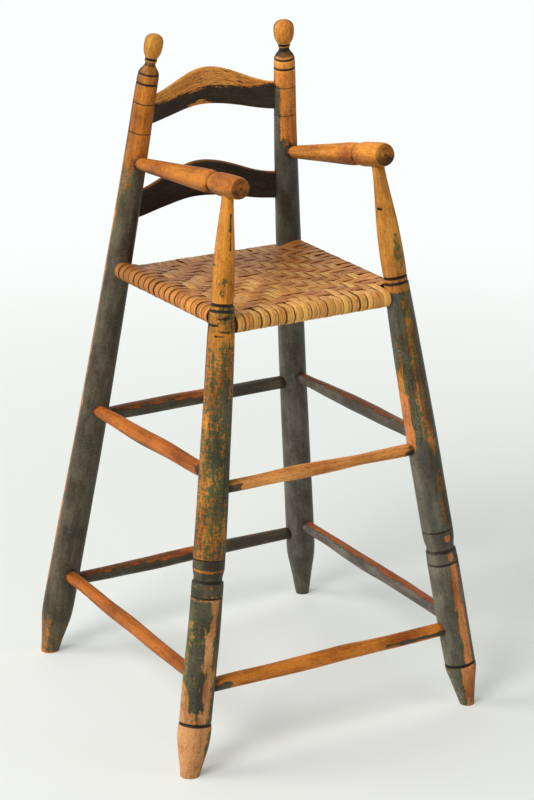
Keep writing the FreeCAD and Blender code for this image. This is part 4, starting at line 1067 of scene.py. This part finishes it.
def buildStripTree():
    # flat strips that loop two rungs and weave two over, two under, the twill turned back at the middle
    f, i, m, g, v = ["NodeSocket" + kind for kind in ("Float", "Int", "Material", "Geometry", "Vector")]
    none = (0.0, 0.0, 0.0)
    inputs = [
        ("Geometry", g, None), ("Strips", i, 19), ("Samples", i, 240), ("Ring Points", i, 12),
        ("Pitch", f, 0.011), ("First", f, 0.0), ("Width", f, 0.010), ("Thickness", f, 0.0009), ("Wrap", f, 0.010),
        ("Near Rung", v, none), ("Near Slope", v, none), ("Far Rung", v, (0.28, 0, 0)), ("Far Slope", v, none),
        ("Ramp", f, 0.02), ("Ramp Grow", f, 0.0), ("Lift", f, 0.0006),
        ("Cross Near Rung", v, (-1, 0, 0)), ("Cross Near Slope", v, none),
        ("Cross Far Rung", v, (1, 0, 0)), ("Cross Far Slope", v, none),
        ("Cross Ramp", f, 0.02), ("Cross Grow", f, 0.0), ("Depth", f, 0.28),
        ("Cross Start", f, 0.0), ("Cross Pitch", f, 0.011), ("Mirror", f, 9.0), ("Mirror Along", f, 0.0),
        ("Seed", i, 1), ("Splint", m, None),
    ]
    tree, a, out = newGroup("wovenStrips", "GeometryNodeTree", inputs, [("Geometry", g)])

    def named(name):
        return put(tree, "GeometryNodeInputNamedAttribute", {0: name}, data_type="FLOAT").outputs[0]

    def keep(geometry, name, value):
        values = {"Geometry": geometry, "Name": name, "Value": value}
        return put(tree, "GeometryNodeStoreNamedAttribute", values, data_type="FLOAT", domain="POINT").outputs[0]

    def rand(low, high, ident, seed):
        node = put(tree, "FunctionNodeRandomValue", data_type="FLOAT")
        for socket in node.inputs:
            if socket.enabled and socket.name == "Min":
                socket.default_value = low
            if socket.enabled and socket.name == "Max":
                socket.default_value = high
            if socket.name == "ID":
                tree.links.new(ident, socket)
            if socket.name == "Seed":
                tree.links.new(calc(tree, "ADD", a["Seed"], seed), socket)
        return [socket for socket in node.outputs if socket.enabled][0]

    def choose(test, yes, no):
        other = calc(tree, "MULTIPLY", calc(tree, "SUBTRACT", 1.0, test), no)
        return calc(tree, "ADD", calc(tree, "MULTIPLY", test, yes), other)

    def rungAt(rung, slope, where):
        parts, tilt = split(tree, a[rung]), split(tree, a[slope])
        return [calc(tree, "MULTIPLY_ADD", where, tilt[k], parts[k]) for k in (0, 1)]

    def rampAt(where, base, grow):
        # the weave climbs to the side rungs more gently away from the corners
        rest = calc(tree, "SUBTRACT", a["Depth"], where)
        room = [ease(tree, way, 0.0, seat["cornerRoom"]) for way in (where, rest)]
        return calc(tree, "MULTIPLY_ADD", calc(tree, "MULTIPLY", *room), a[grow], a[base])

    def squared(value, power):
        full = calc(tree, "POWER", calc(tree, "ABSOLUTE", value), power)
        return calc(tree, "MULTIPLY", calc(tree, "SIGN", value), full)

    # one grid for each strip, that knows its share of the loop and of the strip's own section
    line = put(tree, "GeometryNodeMeshLine", {"Count": a["Strips"]}).outputs[0]
    line = keep(line, "stripIndex", put(tree, "GeometryNodeInputIndex").outputs[0])
    grid = put(tree, "GeometryNodeMeshGrid", {
        "Size X": 1.0, "Size Y": 1.0, "Vertices X": a["Samples"], "Vertices Y": a["Ring Points"]}).outputs[0]
    place = split(tree, put(tree, "GeometryNodeInputPosition").outputs[0])
    grid = keep(grid, "loopShare", calc(tree, "ADD", place[0], 0.5))
    grid = keep(grid, "ringShare", calc(tree, "ADD", place[1], 0.5))
    strips = put(tree, "GeometryNodeInstanceOnPoints", {"Points": line, "Instance": grid}).outputs[0]
    strips = put(tree, "GeometryNodeRealizeInstances", {"Geometry": strips}).outputs[0]

    strip, s, q = named("stripIndex"), named("loopShare"), named("ringShare")
    centre = calc(tree, "MULTIPLY_ADD", strip, a["Pitch"], a["First"])
    centre = calc(tree, "ADD", centre, rand(-seat["placeSpread"], seat["placeSpread"], strip, 3))
    nearU, nearV = rungAt("Near Rung", "Near Slope", centre)
    farU, farV = rungAt("Far Rung", "Far Slope", centre)
    span = calc(tree, "SUBTRACT", farU, nearU)

    # the loop: over the top, round the far rung, back underneath, round the near rung
    topEnd, farEnd, underEnd = seat["loopEnds"]

    def share(low, high):
        return put(tree, "ShaderNodeMapRange", {0: s, 1: low, 2: high, 3: 0.0, 4: 1.0}).outputs[0]

    top, farTurn = share(0.0, topEnd), share(topEnd, farEnd)
    under, nearTurn = share(farEnd, underEnd), share(underEnd, 1.0)
    onTop, onFar, onUnder = [calc(tree, "LESS_THAN", s, end) for end in seat["loopEnds"]]
    along = choose(onTop, top, calc(tree, "SUBTRACT", 1.0, under))
    runU = calc(tree, "MULTIPLY_ADD", along, span, nearU)
    sign = calc(tree, "SUBTRACT", calc(tree, "MULTIPLY", onTop, 2.0), 1.0)
    fromNear, fromFar = calc(tree, "SUBTRACT", runU, nearU), calc(tree, "SUBTRACT", farU, runU)

    # the seat climbs to the rungs at its edges, its own pair and the pair across
    ramp, crossRamp = rampAt(centre, "Ramp", "Ramp Grow"), rampAt(runU, "Cross Ramp", "Cross Grow")
    crossNearU, crossNearV = rungAt("Cross Near Rung", "Cross Near Slope", runU)
    crossFarU, crossFarV = rungAt("Cross Far Rung", "Cross Far Slope", runU)
    besideNear, besideFar = calc(tree, "SUBTRACT", centre, crossNearU), calc(tree, "SUBTRACT", crossFarU, centre)
    rise = calc(tree, "MULTIPLY", nearV, ease(tree, fromNear, ramp, 0.0))
    others = [(farV, fromFar, ramp), (crossNearV, besideNear, crossRamp), (crossFarV, besideFar, crossRamp)]
    for height, far, reach in others:
        rise = calc(tree, "ADD", rise, calc(tree, "MULTIPLY", height, ease(tree, far, reach, 0.0)))
    flatV = calc(tree, "MULTIPLY_ADD", sign, a["Wrap"], rise)

    # the weave itself, a clipped wave that rests at the edges
    cross = calc(tree, "DIVIDE", calc(tree, "SUBTRACT", runU, a["Cross Start"]), a["Cross Pitch"])
    mirrored = choose(a["Mirror Along"], cross, strip)
    stepped = choose(a["Mirror Along"], calc(tree, "ADD", strip, 0.5), cross)
    phase = calc(tree, "ADD", calc(tree, "ABSOLUTE", calc(tree, "SUBTRACT", mirrored, a["Mirror"])), stepped)
    wave = calc(tree, "SINE", calc(tree, "MULTIPLY", phase, math.pi / 2))
    wave = calc(tree, "MAXIMUM", calc(tree, "MULTIPLY", wave, seat["waveGain"]), -1.0)
    wave = calc(tree, "MINIMUM", wave, 1.0)
    room = [ease(tree, far, 0.0, seat["edgeRoom"]) for far in (fromNear, fromFar)]
    wave = calc(tree, "MULTIPLY", wave, calc(tree, "MULTIPLY", *room))
    flatV = calc(tree, "ADD", flatV, calc(tree, "MULTIPLY", wave, a["Lift"]))

    def turned(share, u, v, way):
        angle = calc(tree, "MULTIPLY", share, math.pi)
        out = calc(tree, "MULTIPLY", calc(tree, "SINE", angle), way)
        rise = calc(tree, "MULTIPLY", calc(tree, "COSINE", angle), way)
        spot = [calc(tree, "MULTIPLY_ADD", part, a["Wrap"], base) for part, base in ((out, u), (rise, v))]
        return spot + [out, rise]

    farSpot, nearSpot = turned(farTurn, farU, farV, 1.0), turned(nearTurn, nearU, nearV, -1.0)
    flat = (runU, flatV, 0.0, sign)
    u, v, normalU, normalV = [
        choose(onTop, flat[k], choose(onFar, farSpot[k], choose(onUnder, flat[k], nearSpot[k]))) for k in range(4)]

    # the section of a strip, which wavers and tilts along its run
    turn = calc(tree, "MULTIPLY", q, 2 * math.pi)
    aside = squared(calc(tree, "COSINE", turn), seat["squareAside"])
    proud = squared(calc(tree, "SINE", turn), seat["squareProud"])
    width = calc(tree, "MULTIPLY", a["Width"], rand(*seat["widthSpread"], strip, 11))
    waver = seat["wobble"]
    ownPlace, runPlace = calc(tree, "MULTIPLY", strip, waver["strip"]), calc(tree, "MULTIPLY", u, waver["along"])
    spot = joined(tree, ownPlace, runPlace, sign)
    wobble = put(tree, "ShaderNodeTexNoise", {"Vector": spot, "Scale": 1.0, "Detail": waver["detail"]}).outputs[0]
    wobble = calc(tree, "SUBTRACT", wobble, 0.5)
    side = calc(tree, "ADD", calc(tree, "MULTIPLY", aside, calc(tree, "MULTIPLY", width, 0.5)), centre)
    side = calc(tree, "MULTIPLY_ADD", wobble, waver["side"], side)
    tilt = calc(tree, "MULTIPLY", calc(tree, "MULTIPLY", aside, wobble), waver["tilt"])
    proud = calc(tree, "MULTIPLY", proud, calc(tree, "MULTIPLY", a["Thickness"], 0.5))
    proud = calc(tree, "ADD", calc(tree, "ADD", proud, tilt), rand(0.0, seat["proudSpread"], strip, 17))
    outU, outV = calc(tree, "MULTIPLY_ADD", normalU, proud, u), calc(tree, "MULTIPLY_ADD", normalV, proud, v)
    spot = joined(tree, outU, side, outV)
    strips = put(tree, "GeometryNodeSetPosition", {"Geometry": strips, "Position": spot}).outputs[0]
    strips = keep(strips, "stripTint", rand(0.0, 1.0, strip, 29))
    strips = keep(strips, "stripRun", calc(tree, "MULTIPLY_ADD", sign, 2.0, u))
    strips = keep(strips, "stripSide", aside)
    weld = {"Geometry": strips, "Distance": seat["weld"]}
    strips = put(tree, "GeometryNodeMergeByDistance", weld).outputs[0]
    strips = put(tree, "GeometryNodeSetShadeSmooth", {"Geometry": strips}).outputs[0]
    strips = put(tree, "GeometryNodeRealizeInstances", {"Geometry": strips}).outputs[0]
    strips = put(tree, "GeometryNodeSetMaterial", {"Geometry": strips, "Material": a["Splint"]}).outputs[0]
    tree.links.new(strips, out["Geometry"])
    return tree


# splints: light and deep tone, noises along the fibre, then marks with their soft threshold, strength and color
splint = {
    "warp": (srgb(255, 196, 106), srgb(190, 115, 49)), "weft": (srgb(236, 160, 76), srgb(160, 92, 37)),
    "sideScale": 0.005, "tintScale": 5.0, "grain": ((9, 900, 1), 4.0, 0.65), "cloud": ((38, 120, 1), 3.0, 0.55),
    "dirt": ((30, 30, 30), 4.0, 0.6), "grainShare": 2.0, "tintShare": 0.52, "cloudShare": 1.7, "deep": 0.15,
    "age": (-0.17, 0.12), "dirtShare": 0.9, "towardBackShare": 0.66, "towardBackTone": srgb(120, 70, 32),
    # the edge tone is painted shade in the gaps between strips
    "edge": (0.84, 1.0), "edgeShare": 0.62, "edgeTone": srgb(78, 42, 18),
    "marks": [
        (((8, 480, 1), 3.0, 0.6), (0.52, 0.66), 0.55, srgb(132, 76, 32)),
        (((190, 420, 1), 3.0, 0.6), (0.53, 0.66), 0.62, srgb(108, 58, 24)),
        (((6, 1500, 1), 2.0, 0.5), (0.64, 0.72), 0.7, srgb(96, 54, 22)),
    ],
    "cloudHeight": 0.6, "satinByCloud": (0.2, 0.36),
}


def splintMaterial(name, light, deep):
    material, tree = startMaterial(name)

    def read(label):
        return put(tree, "ShaderNodeAttribute", attribute_name=label).outputs["Fac"]

    def tinted(color, mask, strength, tone):
        return blend(tree, calc(tree, "MULTIPLY", mask, strength), color, tone)

    tint, run, side = read("stripTint"), read("stripRun"), read("stripSide")
    place = put(tree, "ShaderNodeTexCoord").outputs["Object"]
    beside = calc(tree, "MULTIPLY", side, splint["sideScale"])
    fibre = joined(tree, run, beside, calc(tree, "MULTIPLY", tint, splint["tintScale"]))
    grain, cloud = grainNoise(tree, fibre, *splint["grain"]), grainNoise(tree, fibre, *splint["cloud"])
    mixed = calc(tree, "MULTIPLY", tint, splint["tintShare"])
    mixed = calc(tree, "ADD", around(tree, grain, splint["grainShare"]), mixed)
    mixed = calc(tree, "ADD", around(tree, cloud, splint["cloudShare"]), mixed)
    color = blend(tree, calc(tree, "ADD", mixed, splint["deep"], clamp=True), light, deep)
    dirt = around(tree, grainNoise(tree, place, *splint["dirt"]), splint["dirtShare"])
    # darker towards the back of the seat, with a blotchy noise over it
    age = calc(tree, "ADD", dirt, ease(tree, split(tree, place)[1], *splint["age"]), clamp=True)
    color = tinted(color, age, splint["towardBackShare"], splint["towardBackTone"])
    # strip edges darkened: painted shade in the gaps between strips
    edge = ease(tree, calc(tree, "ABSOLUTE", side), *splint["edge"])
    color = tinted(color, edge, splint["edgeShare"], splint["edgeTone"])
    for how, step, strength, tone in splint["marks"]:
        color = tinted(color, ease(tree, grainNoise(tree, fibre, *how), *step), strength, tone)
    height = calc(tree, "ADD", grain, calc(tree, "MULTIPLY", cloud, splint["cloudHeight"]))
    rough = calc(tree, "MULTIPLY_ADD", cloud, *splint["satinByCloud"])
    finishMaterial(tree, color, rough, height, surface["bump"])
    return material


def weave(name, node, tree, values, place):
    mesh = bpy.data.meshes.new(name + ".seed")
    holder = bpy.data.objects.new(name + ".seed", mesh)
    scene.collection.objects.link(holder)
    modifier = holder.modifiers.new("weave", "NODES")
    modifier.node_group = tree
    for item in tree.interface.items_tree:
        if item.in_out == "INPUT" and item.name in values:
            modifier[item.identifier] = values[item.name]
    bpy.context.view_layer.update()
    shaped = holder.evaluated_get(bpy.context.evaluated_depsgraph_get())
    woven = bpy.data.meshes.new_from_object(shaped)
    woven.name = name
    holder.modifiers.remove(modifier)
    bpy.data.objects.remove(holder)
    woven.transform(place)
    check = bmesh.new()
    check.from_mesh(woven)
    bmesh.ops.recalc_face_normals(check, faces=check.faces[:])
    check.to_mesh(woven)
    check.free()
    woven.materials.clear()
    addPiece(name, woven, values["Splint"], [node])
    print(name, "woven:", len(woven.polygons), "faces")


def buildSeat():
    home = (postPoint("front", "right", seat["z"]) + postPoint("front", "left", seat["z"])) / 2
    rearZ = seat["z"] + seat["rearRise"]
    away = (postPoint("rear", "right", rearZ) + postPoint("rear", "left", rearZ)) / 2
    sideWay, backWay = Vector((1, 0, 0)), (away - home).normalized()
    upWay = sideWay.cross(backWay)
    depth = (away - home).length
    frontGap, rearGap = seat["frontPostRadius"] + seat["margin"], seat["rearPostRadius"] + seat["margin"]
    frontHalf = abs(postPoint("front", "left", seat["z"]).x) - frontGap
    rearHalf = abs(postPoint("rear", "left", rearZ).x) - rearGap
    warpPitch = 2 * min(frontHalf, rearHalf) / seat["warps"]
    weftPitch = (depth - frontGap - rearGap) / seat["wefts"]
    firstWarp = -warpPitch * (seat["warps"] - 1) / 2
    wrap = seat["rung"] + seat["wrapGap"] + seat["thick"] / 2

    def sideRung(side):
        # where a side rung starts and how it slopes, across and up, as it goes back
        front = postPoint("front", side, seat["z"] + seat[side + "Rise"])
        rear = postPoint("rear", side, seat["z"] + seat[side + "Rise"] - seat["sideFall"])
        spots = [((p - home).dot(backWay), p.x, (p - home).dot(upWay)) for p in (front, rear)]
        (b0, x0, h0), (b1, x1, h1) = spots
        slope = ((x1 - x0) / (b1 - b0), (h1 - h0) / (b1 - b0))
        return (x0 - b0 * slope[0], h0 - b0 * slope[1], 0.0), (slope[0], slope[1], 0.0)

    def laid(along, across):
        place = Matrix((along, across, upWay)).transposed().to_4x4()
        place.translation = home
        return place

    rightRung, rightSlope = sideRung("right")
    leftRung, leftSlope = sideRung("left")
    tree = buildStripTree()
    shared = {
        "Samples": seat["samples"], "Ring Points": seat["ringPoints"], "Thickness": seat["thick"], "Wrap": wrap,
        "Depth": depth, "Mirror": float(seat["warps"] // 2),
    }
    warpValues = dict(shared, **{
        "Strips": seat["warps"], "Pitch": warpPitch, "First": firstWarp, "Width": warpPitch - seat["splintGap"],
        "Near Rung": (0.0, 0.0, 0.0), "Far Rung": (depth, 0.0, 0.0), "Ramp": frontGap, "Lift": seat["lift"],
        "Cross Near Rung": rightRung, "Cross Near Slope": rightSlope,
        "Cross Far Rung": leftRung, "Cross Far Slope": leftSlope,
        "Cross Ramp": seat["cornerRamp"], "Cross Grow": seat["sideRamp"],
        "Cross Start": frontGap, "Cross Pitch": weftPitch, "Mirror Along": 0.0, "Seed": seat["warpSeed"],
        "Splint": splintMaterial("warpSplint", *splint["warp"])})
    weave("seatWarps", "seat_warp_splints", tree, warpValues, laid(backWay, sideWay))
    weftValues = dict(shared, **{
        "Strips": seat["wefts"], "Pitch": weftPitch, "First": frontGap + weftPitch / 2,
        "Width": weftPitch - seat["splintGap"], "Near Rung": rightRung, "Near Slope": rightSlope,
        "Far Rung": leftRung, "Far Slope": leftSlope,
        "Ramp": seat["cornerRamp"], "Ramp Grow": seat["sideRamp"], "Lift": -seat["lift"],
        "Cross Start": firstWarp, "Cross Pitch": warpPitch, "Mirror Along": 1.0, "Seed": seat["weftSeed"],
        "Splint": splintMaterial("weftSplint", *splint["weft"])})
    weave("seatWefts", "seat_weft_splints", tree, weftValues, laid(sideWay, backWay))
    railWood = buildRailWood()
    for name in ("front", "rear", "left", "right"):
        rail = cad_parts["seat_rung_" + name]
        rail.data.materials.clear()
        rail.data.materials.append(railWood)
    print("seat woven")


railLook = {"Seed": 3.3, "Wear": 0.9, "Ragged": 0.3, "Lathe": 0.0}
railLook.update(paintTones(wood=(150, 92, 42), woodDeep=(104, 60, 26)))


def buildRailWood():
    material, tree = startMaterial("railWood")
    place = put(tree, "ShaderNodeTexCoord").outputs["Object"]
    finishPaint(tree, dict(railLook, Coord=place), surface["bump"])
    return material


buildPosts()
buildArms()
buildStretchers()
buildSlats()
buildSeat()

# studio

studio = {
    "floorSize": 16.0, "floorColor": srgb(236, 239, 231), "paperWhite": (0.965, 1.0, 0.985, 1.0),
    "fadeNear": 0.60, "fadeFar": 2.3, "paperGlow": 0.22, "worldLight": 0.14,
    "lamps": [
        # name, place, aimed at, size, watts
        ("keySoft", (-7.5, -3.3, 7.3), (0.0, 0.0, 0.45), 5.0, 745.0),
        ("leftSoft", (-9.4, 4.0, 5.8), (0.0, 0.0, 0.45), 7.4, 840.0),
        ("fillSoft", (2.2, -2.8, 1.7), (0.0, 0.0, 0.45), 2.2, 16.0),
        ("topSoft", (0.2, 1.2, 3.2), (0.0, 0.0, 0.5), 2.4, 16.0),
    ],
}


def seenRay(tree):
    # one for what the camera sees, straight, in a shine or through something clear
    path = put(tree, "ShaderNodeLightPath").outputs
    bounced = calc(tree, "MAXIMUM", path["Is Glossy Ray"], path["Is Transmission Ray"])
    return calc(tree, "MAXIMUM", path["Is Camera Ray"], bounced)


def buildFloor():
    mesh = bpy.data.meshes.new("paperFloor")
    h = studio["floorSize"] / 2
    mesh.from_pydata([(-h, -h, 0), (h, -h, 0), (h, h, 0), (-h, h, 0)], [], [(0, 1, 2, 3)])
    floor = bpy.data.objects.new("paperFloor", mesh)
    scene.collection.objects.link(floor)
    material, tree = startMaterial("paper")
    diffuse = put(tree, "ShaderNodeBsdfDiffuse", {"Color": studio["floorColor"]})
    glow = put(tree, "ShaderNodeEmission", {"Color": studio["paperWhite"], "Strength": 1.0})
    place = put(tree, "ShaderNodeTexCoord").outputs["Object"]
    far = put(tree, "ShaderNodeVectorMath", {0: place}, operation="LENGTH").outputs["Value"]
    whiter = ease(tree, far, studio["fadeNear"], studio["fadeFar"])
    whiter = calc(tree, "MULTIPLY_ADD", whiter, 1.0 - studio["paperGlow"], studio["paperGlow"])
    fade = calc(tree, "MULTIPLY", whiter, seenRay(tree))
    mixed = put(tree, "ShaderNodeMixShader", {0: fade, 1: diffuse.outputs[0], 2: glow.outputs[0]})
    put(tree, "ShaderNodeOutputMaterial", {"Surface": mixed.outputs[0]})
    mesh.materials.append(material)


def buildWorld():
    world = bpy.data.worlds.new("studioAir")
    world.use_nodes = True
    scene.world = world
    tree = world.node_tree
    tree.nodes.clear()
    strength = calc(tree, "MULTIPLY_ADD", seenRay(tree), 1.0 - studio["worldLight"], studio["worldLight"])
    air = put(tree, "ShaderNodeBackground", {"Color": studio["paperWhite"], "Strength": strength})
    put(tree, "ShaderNodeOutputWorld", {"Surface": air.outputs[0]})


def buildLamps():
    for name, place, aim, size, watts in studio["lamps"]:
        light = bpy.data.lights.new(name, "AREA")
        light.shape = "DISK"
        light.size = size
        light.energy = watts
        lamp = bpy.data.objects.new(name, light)
        lamp.location = place
        lamp.rotation_euler = (Vector(place) - Vector(aim)).to_track_quat("Z", "Y").to_euler()
        scene.collection.objects.link(lamp)


def buildCamera():
    data = bpy.data.cameras.new("pictureCamera")
    data.sensor_width = picture["sensor"]
    data.lens = picture["sensor"] * picture["focalPx"] / picture["longSidePx"]
    camera = bpy.data.objects.new("pictureCamera", data)
    camera.location = picture["place"]
    camera.rotation_euler = viewBack().to_track_quat("Z", "Y").to_euler()
    scene.collection.objects.link(camera)
    scene.camera = camera
    scene.view_settings.view_transform = "Standard"


buildFloor()
buildWorld()
buildLamps()
buildCamera()
print("studio lit")
